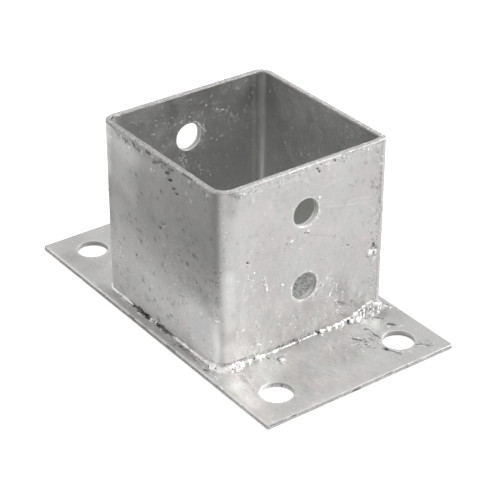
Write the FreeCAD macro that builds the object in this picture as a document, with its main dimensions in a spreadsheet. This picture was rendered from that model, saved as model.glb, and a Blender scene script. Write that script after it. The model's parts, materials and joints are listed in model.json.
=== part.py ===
import FreeCAD, Part
import math
import os
import Sketcher
from FreeCAD import Vector

# Post base for a square timber post: a folded sheet sleeve, welded on a flat plate that is screwed
# down through four holes. Two bolts through the sleeve hold the post.
# The frame is in millimetres, with its origin at the middle of the plate's underside, +X along the
# plate and +Z up. The sleeve's own drawings have their origin at the middle of the sleeve's foot.

SIZES = {
    "plate_length": (150.0, "plate along X"),
    "plate_width": (85.0, "plate along Y"),
    "plate_thickness": (2.0, "plate sheet"),
    "plate_corner_radius": (1.0, "rounding of the plate's four corners"),
    "anchor_hole_diameter": (12.0, "holes for the ground screws or anchors"),
    "anchor_pitch_long": (122.0, "anchor holes, middle to middle along X"),
    "anchor_pitch_wide": (56.0, "anchor holes, middle to middle along Y"),
    "post_space": (70.0, "inside width of the sleeve, both ways"),
    "sleeve_wall": (2.5, "sleeve sheet"),
    "sleeve_height": (72.0, "sleeve from its foot to its rim"),
    "sleeve_offset": (2.5, "middle of the sleeve from the middle of the plate, along X"),
    "front_bend_radius": (4.5, "inside radius of the bend at +X -Y"),
    "rear_bend_radius": (3.0, "inside radius of the two bends at -X"),
    "post_bolt_diameter": (11.0, "holes for the bolts through the post"),
    "lower_bolt_height": (23.0, "lower bolt hole above the sleeve's foot"),
    "bolt_pitch": (30.5, "lower bolt hole to upper bolt hole"),
    "root_gap": (0.4, "space left between the folded sheet's two ends at +X +Y"),
    "weld_leg": (2.0, "bead along the walls, out from the wall and up it"),
    "front_corner_leg": (3.6, "bead out from the wall at the two front corners"),
    "front_corner_rise": (2.8, "bead up the wall round the front bend"),
    "seam_foot_rise": (6.0, "bead up the wall at the foot of the seam"),
    "rear_corner_leg": (2.8, "bead out from the wall and up it round the two rear bends"),
    "corner_reach": (9.0, "distance along the bead over which a corner's extra size dies away"),
    "unwelded_length": (22.0, "bare stretch in the middle of each side wall's foot"),
    "unwelded_offset": (-3.5, "middle of the bare stretch from the middle of the sleeve"),
    "ripple_pitch": (2.4, "one ripple of a bead to the next"),
    "ripple_depth": (0.12, "share of the bead's size that a ripple's valley lacks"),
    "bead_end_length": (3.0, "length over which a bead's end tapers"),
    "bead_end_share": (0.35, "share of the bead's size that is left at its end"),
}

CORNER_SIGNS = ((-1, -1), (1, -1), (1, 1), (-1, 1))

# A bead's blank reaches this far into the wall before it is trimmed to the sleeve's outside.
TRIM_DEPTH = 0.5
# The middle of a bead's face stands at this share of both its leg and its rise: over 0.5 is convex.
FACE_SWELL = 0.6


def add_sizes(doc):
    """The sheet of driving sizes, one named cell each."""
    sheet = doc.addObject("Spreadsheet::Sheet", "sizes")
    for row, (name, (size, note)) in enumerate(SIZES.items(), start=1):
        sheet.set(f"A{row}", name)
        sheet.set(f"B{row}", str(size))
        sheet.setAlias(f"B{row}", name)
        sheet.set(f"C{row}", note)
    doc.recompute()
    return sheet


def add_body(doc, label):
    """An empty body with its label."""
    body = doc.addObject("PartDesign::Body", label)
    body.Label = label
    return body


def seat_on_plate(body):
    """Put a body's origin at the middle of the sleeve's foot."""
    body.setExpression("Placement.Base.x", "sizes.sleeve_offset")
    body.setExpression("Placement.Base.z", "sizes.plate_thickness")


def add_sketch(body, name, role):
    """A sketch on one of the body's own origin planes."""
    sketch = body.newObject("Sketcher::SketchObject", name)
    planes = [plane for plane in body.Origin.OriginFeatures if plane.Role == role]
    sketch.AttachmentSupport = [(planes[0], "")]
    sketch.MapMode = "FlatFace"
    return sketch


def hold_size(sketch, constraint, name, formula):
    """Add a constraint and drive its value by a formula of the sheet's cells."""
    index = sketch.addConstraint(constraint)
    sketch.renameConstraint(index, name)
    sketch.setExpression(f"Constraints.{name}", formula)


def hold_point(sketch, element, point, name, along_x, along_y):
    """Hold a sketched point at (sign, formula, value) along each axis of the sketch."""
    for axis, (sign, formula, value) in (("X", along_x), ("Y", along_y)):
        start, end = ((-1, 1), (element, point)) if sign > 0 else ((element, point), (-1, 1))
        constraint = Sketcher.Constraint(f"Distance{axis}", *start, *end, value)
        hold_size(sketch, constraint, f"{name}_{axis.lower()}", formula)


def draw_four_sides(sketch, corners):
    """Four lines through the given corners, level and upright by turns."""
    for index, corner in enumerate(corners):
        sketch.addGeometry(Part.LineSegment(corner, corners[(index + 1) % 4]), False)
    for index in range(4):
        sketch.addConstraint(Sketcher.Constraint("Coincident", index, 2, (index + 1) % 4, 1))
        direction = "Vertical" if index % 2 else "Horizontal"
        sketch.addConstraint(Sketcher.Constraint(direction, index))


def draw_rectangle(sketch, width, depth):
    """A rectangle about the sketch's origin; width and depth are (formula, value)."""
    half_x, half_y = width[1] / 2, depth[1] / 2
    draw_four_sides(sketch, [Vector(x * half_x, y * half_y, 0) for x, y in CORNER_SIGNS])
    sketch.addConstraint(Sketcher.Constraint("Symmetric", 0, 1, 1, 2, -1, 1))
    hold_size(sketch, Sketcher.Constraint("DistanceX", 0, 1, 0, 2, width[1]), "width", width[0])
    hold_size(sketch, Sketcher.Constraint("DistanceY", 1, 1, 1, 2, depth[1]), "depth", depth[0])


def draw_circle(sketch, name, along_x, along_y, diameter):
    """A circle at (sign, formula, value) along each axis; diameter is (formula, value)."""
    centre = Vector(along_x[0] * along_x[2], along_y[0] * along_y[2], 0)
    element = sketch.addGeometry(Part.Circle(centre, Vector(0, 0, 1), diameter[1] / 2), False)
    if along_x[2] == 0:
        sketch.addConstraint(Sketcher.Constraint("PointOnObject", element, 3, -2))
        level = Sketcher.Constraint("DistanceY", -1, 1, element, 3, along_y[2])
        hold_size(sketch, level, f"{name}_y", along_y[1])
    else:
        hold_point(sketch, element, 3, name, along_x, along_y)
    bore = Sketcher.Constraint("Diameter", element, diameter[1])
    hold_size(sketch, bore, f"{name}_bore", diameter[0])


def add_pad(body, name, sketch, length):
    """Raise a sketch by a formula of the sheet's cells."""
    pad = body.newObject("PartDesign::Pad", name)
    pad.Profile = sketch
    pad.setExpression("Length", length)
    body.Document.recompute()
    return pad


def add_pocket(body, name, sketch):
    """Cut a sketch right through the body, both ways, and check that it took something away."""
    before = body.Shape.Volume
    pocket = body.newObject("PartDesign::Pocket", name)
    pocket.Profile = sketch
    pocket.Type = "ThroughAll"
    pocket.Midplane = True
    body.Document.recompute()
    if not body.Shape.Volume < before:
        raise RuntimeError(f"{name} cuts nothing")
    return pocket


def upright_edges(shape, corners):
    """Names of the shape's upright edges that stand on the given (x, y) corners."""
    names = []
    for number, edge in enumerate(shape.Edges, start=1):
        low, high = edge.Vertexes[0].Point, edge.Vertexes[-1].Point
        upright = math.hypot(high.x - low.x, high.y - low.y) < 1e-6 and abs(high.z - low.z) > 1e-6
        if upright and any(math.hypot(low.x - x, low.y - y) < 1e-4 for x, y in corners):
            names.append(f"Edge{number}")
    if len(names) != len(corners):
        raise RuntimeError("an upright edge was not found")
    return names


def add_rounding(body, name, corners, radius):
    """Round the upright edges that stand on the given corners."""
    base = body.Tip
    rounding = body.newObject("PartDesign::Fillet", name)
    rounding.Base = (base, upright_edges(base.Shape, corners))
    rounding.setExpression("Radius", radius)
    body.Document.recompute()
    return rounding


def make_base_plate(doc, sheet):
    """Flat plate with rounded corners and a hole near each corner."""
    body = add_body(doc, "base_plate")
    outline = add_sketch(body, "plate_outline", "XY_Plane")
    draw_rectangle(outline, ("sizes.plate_length", sheet.plate_length),
                   ("sizes.plate_width", sheet.plate_width))
    add_pad(body, "plate_sheet", outline, "sizes.plate_thickness")
    corners = [(sign_x * sheet.plate_length / 2, sign_y * sheet.plate_width / 2)
               for sign_x, sign_y in CORNER_SIGNS]
    add_rounding(body, "plate_corners", corners, "sizes.plate_corner_radius")
    holes = add_sketch(body, "anchor_hole_circles", "XY_Plane")
    for number, (sign_x, sign_y) in enumerate(CORNER_SIGNS, start=1):
        draw_circle(holes, f"anchor{number}",
                    (sign_x, "sizes.anchor_pitch_long / 2", sheet.anchor_pitch_long / 2),
                    (sign_y, "sizes.anchor_pitch_wide / 2", sheet.anchor_pitch_wide / 2),
                    ("sizes.anchor_hole_diameter", sheet.anchor_hole_diameter))
    add_pocket(body, "anchor_holes", holes)
    return body


def make_post_sleeve(doc, sheet):
    """Strip folded at three corners into a square sleeve, its ends meeting at +X +Y."""
    body = add_body(doc, "post_sleeve")
    seat_on_plate(body)
    outer = sheet.post_space / 2 + sheet.sleeve_wall
    inner = sheet.post_space / 2
    square = ("sizes.post_space + 2 * sizes.sleeve_wall", 2 * outer)
    outline = add_sketch(body, "sleeve_outline", "XY_Plane")
    draw_rectangle(outline, square, square)
    add_pad(body, "sleeve_block", outline, "sizes.sleeve_height")
    add_rounding(body, "front_bend_outside", [(outer, -outer)],
                 "sizes.front_bend_radius + sizes.sleeve_wall")
    add_rounding(body, "rear_bends_outside", [(-outer, -outer), (-outer, outer)],
                 "sizes.rear_bend_radius + sizes.sleeve_wall")
    space = add_sketch(body, "post_space_square", "XY_Plane")
    draw_rectangle(space, ("sizes.post_space", 2 * inner), ("sizes.post_space", 2 * inner))
    add_pocket(body, "post_space", space)
    add_rounding(body, "front_bend_inside", [(inner, -inner)], "sizes.front_bend_radius")
    add_rounding(body, "rear_bends_inside", [(-inner, -inner), (-inner, inner)],
                 "sizes.rear_bend_radius")
    cut_seam(body, sheet)
    cut_bolt_holes(body, sheet)
    return body


def cut_seam(body, sheet):
    """Take the square out of the +X +Y corner, so that the sheet's two ends stand apart."""
    near = ("sizes.post_space / 2 - sizes.root_gap", sheet.post_space / 2 - sheet.root_gap)
    far = ("sizes.post_space / 2 + 2 * sizes.sleeve_wall",
           sheet.post_space / 2 + 2 * sheet.sleeve_wall)
    sketch = add_sketch(body, "seam_square", "XY_Plane")
    low, high = near[1], far[1]
    draw_four_sides(sketch, [Vector(x, y, 0) for x, y in
                             ((low, low), (high, low), (high, high), (low, high))])
    hold_point(sketch, 0, 1, "near", (1, *near), (1, *near))
    hold_point(sketch, 2, 1, "far", (1, *far), (1, *far))
    add_pocket(body, "seam_opening", sketch)


def cut_bolt_holes(body, sheet):
    """Two holes, one above the other, through the front wall and the rear wall."""
    sketch = add_sketch(body, "bolt_hole_circles", "YZ_Plane")
    bore = ("sizes.post_bolt_diameter", sheet.post_bolt_diameter)
    lower = ("sizes.lower_bolt_height", sheet.lower_bolt_height)
    upper = ("sizes.lower_bolt_height + sizes.bolt_pitch",
             sheet.lower_bolt_height + sheet.bolt_pitch)
    draw_circle(sketch, "lower", (1, "0", 0), (1, *lower), bore)
    draw_circle(sketch, "upper", (1, "0", 0), (1, *upper), bore)
    add_pocket(body, "bolt_holes", sketch)


def make_seam_weld(doc, sheet):
    """Weld that fills the open corner of the folded sheet and rounds it off outside."""
    body = add_body(doc, "seam_weld")
    seat_on_plate(body)
    outer = ("sizes.post_space / 2 + sizes.sleeve_wall", sheet.post_space / 2 + sheet.sleeve_wall)
    inner = ("sizes.post_space / 2", sheet.post_space / 2)
    end = ("sizes.post_space / 2 - sizes.root_gap", sheet.post_space / 2 - sheet.root_gap)
    sketch = add_sketch(body, "seam_section", "XY_Plane")
    places = [(outer, end), (end, outer), (end, inner), (inner, end)]
    points = [Vector(x[1], y[1], 0) for x, y in places]
    radius = outer[1] - end[1]
    centre = Vector(end[1], end[1], 0)
    circle = Part.Circle(centre, Vector(0, 0, 1), radius)
    sketch.addGeometry(Part.ArcOfCircle(circle, 0, math.pi / 2), False)
    for start in (1, 2, 3):
        sketch.addGeometry(Part.LineSegment(points[start], points[(start + 1) % 4]), False)
    for index in range(4):
        sketch.addConstraint(Sketcher.Constraint("Coincident", index, 2, (index + 1) % 4, 1))
    for index, (x, y) in enumerate(places):
        hold_point(sketch, index, 1, f"corner{index + 1}", (1, *x), (1, *y))
    round_off = Sketcher.Constraint("Radius", 0, radius)
    hold_size(sketch, round_off, "round_off", "sizes.sleeve_wall + sizes.root_gap")
    add_pad(body, "seam_bead", sketch, "sizes.sleeve_height")
    return body


def straight(start, end):
    """A straight stretch of a bead's line, with the wall on its left."""
    length = math.dist(start, end)
    along = ((end[0] - start[0]) / length, (end[1] - start[1]) / length)

    def locate(distance):
        foot = (start[0] + along[0] * distance, start[1] + along[1] * distance)
        return foot, (along[1], -along[0])

    return length, locate


def bend(centre, radius, start_angle):
    """A quarter turn of a bead's line, anticlockwise round a bend of the sleeve."""

    def locate(distance):
        angle = start_angle + distance / radius
        away = (math.cos(angle), math.sin(angle))
        return (centre[0] + away[0] * radius, centre[1] + away[1] * radius), away

    return radius * math.pi / 2, locate


def sleeve_corners(sheet):
    """Middle and outside radius of the sleeve's four corners, keyed by their signs."""
    outer = sheet.post_space / 2 + sheet.sleeve_wall
    radii = {
        (-1, -1): sheet.rear_bend_radius + sheet.sleeve_wall,
        (1, -1): sheet.front_bend_radius + sheet.sleeve_wall,
        (1, 1): sheet.root_gap + sheet.sleeve_wall,
        (-1, 1): sheet.rear_bend_radius + sheet.sleeve_wall,
    }
    return {signs: ((signs[0] * (outer - radius), signs[1] * (outer - radius)), radius)
            for signs, radius in radii.items()}


def sleeve_envelope(sheet):
    """The sleeve's outside as one solid, which trims the beads to their seat."""
    corners = sleeve_corners(sheet)
    arcs = []
    for index, signs in enumerate(CORNER_SIGNS):
        centre, radius = corners[signs]
        angles = [-math.pi + (index + share) * math.pi / 2 for share in (0, 0.5, 1)]
        arcs.append([Vector(centre[0] + radius * math.cos(angle),
                            centre[1] + radius * math.sin(angle), 0) for angle in angles])
    outline = []
    for arc, following in zip(arcs, arcs[1:] + arcs[:1]):
        outline.append(Part.Arc(*arc).toShape())
        outline.append(Part.LineSegment(arc[-1], following[0]).toShape())
    return Part.Face(Part.Wire(outline)).extrude(Vector(0, 0, sheet.sleeve_height))


def bead_stretches(sheet, front):
    """The line of the front or the rear bead: a side, a bend, an end wall, a bend, a side."""
    outer = sheet.post_space / 2 + sheet.sleeve_wall
    corners = sleeve_corners(sheet)
    half = sheet.unwelded_length / 2
    if front:
        first, second = (1, -1), (1, 1)
        start = (sheet.unwelded_offset + half, -outer)
        end = (sheet.unwelded_offset + half, outer)
        turn = -math.pi / 2
    else:
        first, second = (-1, 1), (-1, -1)
        start = (sheet.unwelded_offset - half, outer)
        end = (sheet.unwelded_offset - half, -outer)
        turn = math.pi / 2
    (first_centre, first_radius), (second_centre, second_radius) = corners[first], corners[second]
    wall = first[0] * outer
    return (
        straight(start, (first_centre[0], start[1])),
        bend(first_centre, first_radius, turn),
        straight((wall, first_centre[1]), (wall, second_centre[1])),
        bend(second_centre, second_radius, turn + math.pi / 2),
        straight((second_centre[0], end[1]), end),
    )


def bead_section(foot, away, leg, rise):
    """Section of a bead: flat on the plate, a bulging face, and a back that is inside the wall."""
    def place(out, up):
        return Vector(foot[0] + away[0] * out, foot[1] + away[1] * out, up)

    toe, crown = place(leg, 0), place(0, rise)
    back_low, back_high = place(-TRIM_DEPTH, 0), place(-TRIM_DEPTH, rise)
    face = Part.Arc(toe, place(leg * FACE_SWELL, rise * FACE_SWELL), crown).toShape()
    top = Part.LineSegment(crown, back_high).toShape()
    rear = Part.LineSegment(back_high, back_low).toShape()
    base = Part.LineSegment(back_low, toe).toShape()
    return Part.Wire([face, top, rear, base])


def make_bead(doc, sheet, label, front):
    """Rippled bead along the sleeve's foot, larger at the corners and tapered at its two ends."""
    stretches = bead_stretches(sheet, front)
    total = sum(length for length, _ in stretches)
    starts = [sum(length for length, _ in stretches[:index]) for index in range(len(stretches))]
    first_bend = starts[1] + stretches[1][0] / 2
    second_bend = starts[3] + stretches[3][0] / 2
    if front:
        bends = ((first_bend, sheet.front_corner_leg, sheet.front_corner_rise),
                 (second_bend, sheet.front_corner_leg, sheet.seam_foot_rise))
    else:
        bends = ((first_bend, sheet.rear_corner_leg, sheet.rear_corner_leg),
                 (second_bend, sheet.rear_corner_leg, sheet.rear_corner_leg))

    def bead_size(distance, valley):
        leg = rise = sheet.weld_leg
        for middle, corner_leg, corner_rise in bends:
            nearness = math.exp(-((distance - middle) / sheet.corner_reach) ** 2)
            leg += (corner_leg - sheet.weld_leg) * nearness
            rise += (corner_rise - sheet.weld_leg) * nearness
        to_end = min(distance, total - distance) / sheet.bead_end_length
        taper = sheet.bead_end_share + (1 - sheet.bead_end_share) * min(1, to_end)
        share = taper * (1 - sheet.ripple_depth * valley)
        return leg * share, rise * share

    ripples = round(total / sheet.ripple_pitch)
    sections = []
    for station in range(2 * ripples + 1):
        distance = total * station / (2 * ripples)
        index = max(number for number, start in enumerate(starts) if start <= distance + 1e-9)
        foot, away = stretches[index][1](distance - starts[index])
        leg, rise = bead_size(distance, valley=station % 2 == 0)
        sections.append(bead_section(foot, away, leg, rise))
    bead = Part.makeLoft(sections, True, True)
    bead = bead.cut(sleeve_envelope(sheet))
    feature = doc.addObject("Part::Feature", label)
    feature.Label = label
    feature.Shape = bead
    feature.Placement.Base = Vector(sheet.sleeve_offset, 0, sheet.plate_thickness)
    return feature


def check_document(doc, parts):
    """Stop if any object failed, or any sub-part is not one valid solid."""
    for item in doc.Objects:
        if "Invalid" in item.State or "Error" in item.State:
            raise RuntimeError(f"{item.Label} failed: {item.State}")
    for part in parts:
        shape = part.Shape
        if shape.isNull() or not shape.isValid() or len(shape.Solids) != 1:
            raise RuntimeError(f"{part.Label} is not one valid solid")


def main():
    doc = FreeCAD.newDocument("post_base")
    sheet = add_sizes(doc)
    parts = [
        make_base_plate(doc, sheet),
        make_post_sleeve(doc, sheet),
        make_seam_weld(doc, sheet),
        make_bead(doc, sheet, "front_weld", front=True),
        make_bead(doc, sheet, "rear_weld", front=False),
    ]
    doc.recompute()
    check_document(doc, parts)
    os.makedirs("parts", exist_ok=True)
    for part in parts:
        part.Shape.exportStep(f"parts/{part.Label}.step")
        box = part.Shape.BoundBox
        print(f"{part.Label}: {part.Shape.Volume:.1f} mm3,"
              f" x {box.XMin:.2f} to {box.XMax:.2f}, y {box.YMin:.2f} to {box.YMax:.2f},"
              f" z {box.ZMin:.2f} to {box.ZMax:.2f}")


main()
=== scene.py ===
"""Looks of a hot-dip galvanised post base: a folded square sleeve, welded on a flat plate with four holes."""

import json
import math
import random

import bmesh
import bpy
import numpy as np
from mathutils import Matrix, Vector


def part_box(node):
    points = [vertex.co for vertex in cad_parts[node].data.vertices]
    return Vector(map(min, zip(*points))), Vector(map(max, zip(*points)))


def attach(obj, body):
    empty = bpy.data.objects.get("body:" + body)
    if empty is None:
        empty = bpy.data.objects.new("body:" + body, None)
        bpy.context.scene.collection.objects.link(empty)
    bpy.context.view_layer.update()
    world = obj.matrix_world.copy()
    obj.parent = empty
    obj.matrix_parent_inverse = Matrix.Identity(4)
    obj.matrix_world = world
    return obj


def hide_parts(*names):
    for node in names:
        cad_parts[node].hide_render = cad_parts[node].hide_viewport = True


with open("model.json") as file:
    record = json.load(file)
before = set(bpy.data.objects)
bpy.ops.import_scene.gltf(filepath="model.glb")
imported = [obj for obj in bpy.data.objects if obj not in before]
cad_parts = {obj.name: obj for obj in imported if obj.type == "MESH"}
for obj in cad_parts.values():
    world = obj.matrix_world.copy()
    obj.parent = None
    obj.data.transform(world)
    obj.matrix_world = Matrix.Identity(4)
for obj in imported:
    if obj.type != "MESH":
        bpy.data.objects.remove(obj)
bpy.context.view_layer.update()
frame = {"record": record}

bl_info = {
    "name": "Galvanised post base",
    "version": (1, 0, 0),
    "blender": (4, 5, 0),
    "location": "View3D > Sidebar > Post base",
    "description": "Builds the zinc coated sheets and welds of a post base, and the stage it stands on",
    "category": "Object",
}

MM = 0.001
# Two places that are nearer than this, in metres, count as one
TINY = 1e-6
PLATE_LOW, PLATE_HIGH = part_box("base_plate")
SLEEVE_LOW, SLEEVE_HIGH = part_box("post_sleeve")
MOUNTS = {mount["name"]: mount for mount in frame["record"]["mounts"]}
ANCHORS = MOUNTS["anchor_holes"]["dims"]
ANCHOR_RADIUS = ANCHORS["hole_r_mm"] * MM
BOLTS = MOUNTS["front_post_bolts"]["dims"]
BOLT_RADIUS = BOLTS["hole_r_mm"] * MM
BOLT_MIDDLE = Vector(MOUNTS["front_post_bolts"]["pos_m"])
BOLT_LEVELS = [BOLT_MIDDLE.z + side * BOLTS["spacing_y_mm"] * MM / 2 for side in (-1, 1)]
X, Y, Z = Vector((1, 0, 0)), Vector((0, 1, 0)), Vector((0, 0, 1))
PLATE_TOP = PLATE_HIGH.z
# The sleeve's wall and the outer radius of its wide bend, in mm
WALL = 2.5
FRONT_BEND = 7.0
# Heights of the pits and drops of full strength
PIT_DEPTH = 0.3 * MM
DROP_HEIGHT = 0.5 * MM


class PlateLook(bpy.types.PropertyGroup):
    """Sizes of the flat sheet that the frame does not state."""

    cell: bpy.props.FloatProperty(
        name="Cell", description="Spacing of the mesh lines on the sheet", default=0.8 * MM, unit="LENGTH"
    )
    corner_radius: bpy.props.FloatProperty(
        name="Corner radius", description="Rounding of the corners, seen from above", default=1.0 * MM, unit="LENGTH"
    )
    edge_radius: bpy.props.FloatProperty(
        name="Edge radius", description="Rounding along the sheared edges", default=0.4 * MM, unit="LENGTH"
    )
    lip_radius: bpy.props.FloatProperty(
        name="Lip radius", description="Rounding of the lips of the anchor holes", default=0.25 * MM, unit="LENGTH"
    )
    edge_wear: bpy.props.FloatProperty(
        name="Edge wear", description="How far the sheared edges are dented", default=0.22 * MM, unit="LENGTH"
    )
    swell: bpy.props.FloatProperty(
        name="Swell", description="Height of the gentle waves of the zinc", default=0.07 * MM, unit="LENGTH"
    )


class SleeveLook(bpy.types.PropertyGroup):
    """Sizes of the folded sleeve that the frame does not state."""

    cell: bpy.props.FloatProperty(
        name="Cell", description="Spacing of the mesh lines on the walls", default=0.8 * MM, unit="LENGTH"
    )
    wall: bpy.props.FloatProperty(
        name="Wall", description="Thickness of the folded sheet", default=WALL * MM, unit="LENGTH"
    )
    front_bend: bpy.props.FloatProperty(
        name="Front bend", description="Outer radius of the bend at +X -Y", default=FRONT_BEND * MM, unit="LENGTH"
    )
    rear_bend: bpy.props.FloatProperty(
        name="Rear bends", description="Outer radius of the two bends at -X", default=5.5 * MM, unit="LENGTH"
    )
    seam_radius: bpy.props.FloatProperty(
        name="Seam radius", description="Outer radius of the corner at +X +Y", default=2.9 * MM, unit="LENGTH"
    )
    rim_radius: bpy.props.FloatProperty(
        name="Rim radius", description="Rounding of the sleeve's upper rim", default=0.55 * MM, unit="LENGTH"
    )
    foot_radius: bpy.props.FloatProperty(
        name="Foot radius", description="Rounding of the sleeve's foot", default=0.6 * MM, unit="LENGTH"
    )
    lip_radius: bpy.props.FloatProperty(
        name="Lip radius", description="Rounding of the lips of the bolt holes", default=0.2 * MM, unit="LENGTH"
    )
    swell: bpy.props.FloatProperty(
        name="Swell", description="Height of the gentle waves of the zinc", default=0.1 * MM, unit="LENGTH"
    )
    rim_roughness: bpy.props.FloatProperty(
        name="Rim roughness", description="Height of the lumps on and under the rim", default=0.32 * MM, unit="LENGTH"
    )


class WeldLook(bpy.types.PropertyGroup):
    """How the weld beads are laid."""

    voxel: bpy.props.FloatProperty(
        name="Voxel", description="Grid on which the drops of a bead are fused", default=0.2 * MM, unit="LENGTH"
    )
    pitch: bpy.props.FloatProperty(
        name="Pitch", description="Distance from one drop of the bead to the next", default=0.9 * MM, unit="LENGTH"
    )
    sink: bpy.props.FloatProperty(
        name="Sink", description="How deep a bead is rooted in the sheets", default=0.12 * MM, unit="LENGTH"
    )
    seed: bpy.props.IntProperty(name="Seed", description="Start of the random draws", default=7)


class ZincLook(bpy.types.PropertyGroup):
    """Colours and gloss of the zinc coat."""

    plate_colour: bpy.props.FloatVectorProperty(
        name="Plate colour", description="Zinc on the plate", default=(0.517, 0.506, 0.5), subtype="COLOR"
    )
    sleeve_colour: bpy.props.FloatVectorProperty(
        name="Sleeve colour", description="Zinc on the sleeve", default=(0.69, 0.668, 0.662), subtype="COLOR"
    )
    weld_colour: bpy.props.FloatVectorProperty(
        name="Weld colour", description="Zinc on the weld beads", default=(0.84, 0.825, 0.82), subtype="COLOR"
    )
    # Also the colour of painted shade in crevices, at the rim's inner edge and in the beads' hollows
    grime_colour: bpy.props.FloatVectorProperty(
        name="Grime colour", description="Ash and dross in the zinc", default=(0.07, 0.068, 0.066), subtype="COLOR"
    )
    sheet_roughness: bpy.props.FloatProperty(
        name="Sheet roughness", description="Roughness of the zinc on the sheets", default=0.42, subtype="FACTOR"
    )
    weld_roughness: bpy.props.FloatProperty(
        name="Weld roughness", description="Roughness of the zinc on the beads", default=0.26, subtype="FACTOR"
    )


class StageLook(bpy.types.PropertyGroup):
    """Floor, light and camera."""

    floor_colour: bpy.props.FloatVectorProperty(
        name="Floor colour", description="Plain pale floor", default=(0.8, 0.8, 0.8), subtype="COLOR"
    )
    lamp_direction: bpy.props.FloatVectorProperty(
        name="Lamp direction",
        description="From the object towards the soft lamp",
        default=(0.22, 0.7, 0.52),
        subtype="DIRECTION",
    )
    lamp_distance: bpy.props.FloatProperty(
        name="Lamp distance", description="Distance from the object to the lamp", default=1.2, unit="LENGTH"
    )
    lamp_size: bpy.props.FloatProperty(
        name="Lamp size", description="Diameter of the soft lamp", default=0.5, unit="LENGTH"
    )
    lamp_power: bpy.props.FloatProperty(
        name="Lamp power", description="Power of the soft lamp", default=11.5, unit="POWER"
    )
    ambient: bpy.props.FloatProperty(
        name="Ambient", description="Strength of the even light from all round", default=0.35
    )
    eye: bpy.props.FloatVectorProperty(
        name="Eye",
        description="Place of the camera",
        default=(0.45193, -0.32963, 0.35388),
        subtype="TRANSLATION",
    )
    aim: bpy.props.FloatVectorProperty(
        name="Aim",
        description="Point in the middle of the picture",
        default=(0.12328, -0.0862, 0.11051),
        subtype="TRANSLATION",
    )
    roll: bpy.props.FloatProperty(
        name="Roll",
        description="Turn of the camera about its line of sight",
        default=math.radians(0.1818),
        unit="ROTATION",
    )
    lens: bpy.props.FloatProperty(
        name="Lens", description="Focal length on a 36 mm sensor", default=123.95, unit="CAMERA"
    )


# Mesh work


def only(obj):
    """Makes an object the active one and the only one selected, in object mode."""
    if bpy.context.object and bpy.context.object.mode != "OBJECT":
        bpy.ops.object.mode_set(mode="OBJECT")
    bpy.ops.object.select_all(action="DESELECT")
    obj.select_set(True)
    bpy.context.view_layer.objects.active = obj


def start_piece(name):
    """Names the primitive that was just added and moves its place, turn and size into its mesh."""
    obj = bpy.context.object
    obj.name = obj.data.name = name
    only(obj)
    bpy.ops.object.transform_apply(location=True, rotation=True, scale=True)
    return obj


def begin_edit(obj):
    """Opens the mesh of one object in edit mode."""
    only(obj)
    bpy.ops.object.mode_set(mode="EDIT")


def end_edit():
    bpy.ops.object.mode_set(mode="OBJECT")


def pick(kind, test):
    """Selects the vertices, edges or faces of the mesh in edit mode that pass a test."""
    mesh = bmesh.from_edit_mesh(bpy.context.object.data)
    bpy.ops.mesh.select_all(action="DESELECT")
    bpy.context.tool_settings.mesh_select_mode = (kind == "VERT", kind == "EDGE", kind == "FACE")
    items = {"VERT": mesh.verts, "EDGE": mesh.edges, "FACE": mesh.faces}[kind]
    for item in items:
        if test(item):
            item.select_set(True)
    mesh.select_flush_mode()
    bmesh.update_edit_mesh(bpy.context.object.data)


def round_off(kind, test, radius, segments):
    """Rounds the edges, or the corners of a flat outline, that pass a test."""
    pick(kind, test)
    bpy.ops.mesh.bevel(offset=radius, segments=segments, affect="VERTICES" if kind == "VERT" else "EDGES")


def divide(test, cuts):
    """Divides the edges that pass a test, and the faces between them."""
    pick("EDGE", test)
    bpy.ops.mesh.subdivide(number_cuts=cuts)


def middle(edge):
    return (edge.verts[0].co + edge.verts[1].co) / 2


def along(edge, axis):
    """True for an edge that runs along an axis."""
    run = edge.verts[1].co - edge.verts[0].co
    return run.length > TINY / 10 and abs(run.normalized().dot(axis)) > 0.999


def lies_flat(face):
    """True for a face that looks straight up or down."""
    return abs(face.normal.z) > 0.9


def close_up(obj):
    """Merges doubles and turns the faces outwards."""
    begin_edit(obj)
    bpy.ops.mesh.select_all(action="SELECT")
    bpy.ops.mesh.remove_doubles(threshold=TINY)
    bpy.ops.mesh.normals_make_consistent(inside=False)
    end_edit()


def apply_modifier(obj, kind, **settings):
    """Adds a modifier with the given settings and applies it at once."""
    only(obj)
    modifier = obj.modifiers.new(kind.title(), kind)
    for key, value in settings.items():
        setattr(modifier, key, value)
    bpy.ops.object.modifier_apply(modifier=modifier.name)


def cut_away(obj, cutter):
    """Takes the cutter's shape out of an object, and the cutter out of the scene."""
    apply_modifier(obj, "BOOLEAN", operation="DIFFERENCE", solver="EXACT", object=cutter)
    bpy.data.objects.remove(cutter)


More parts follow.
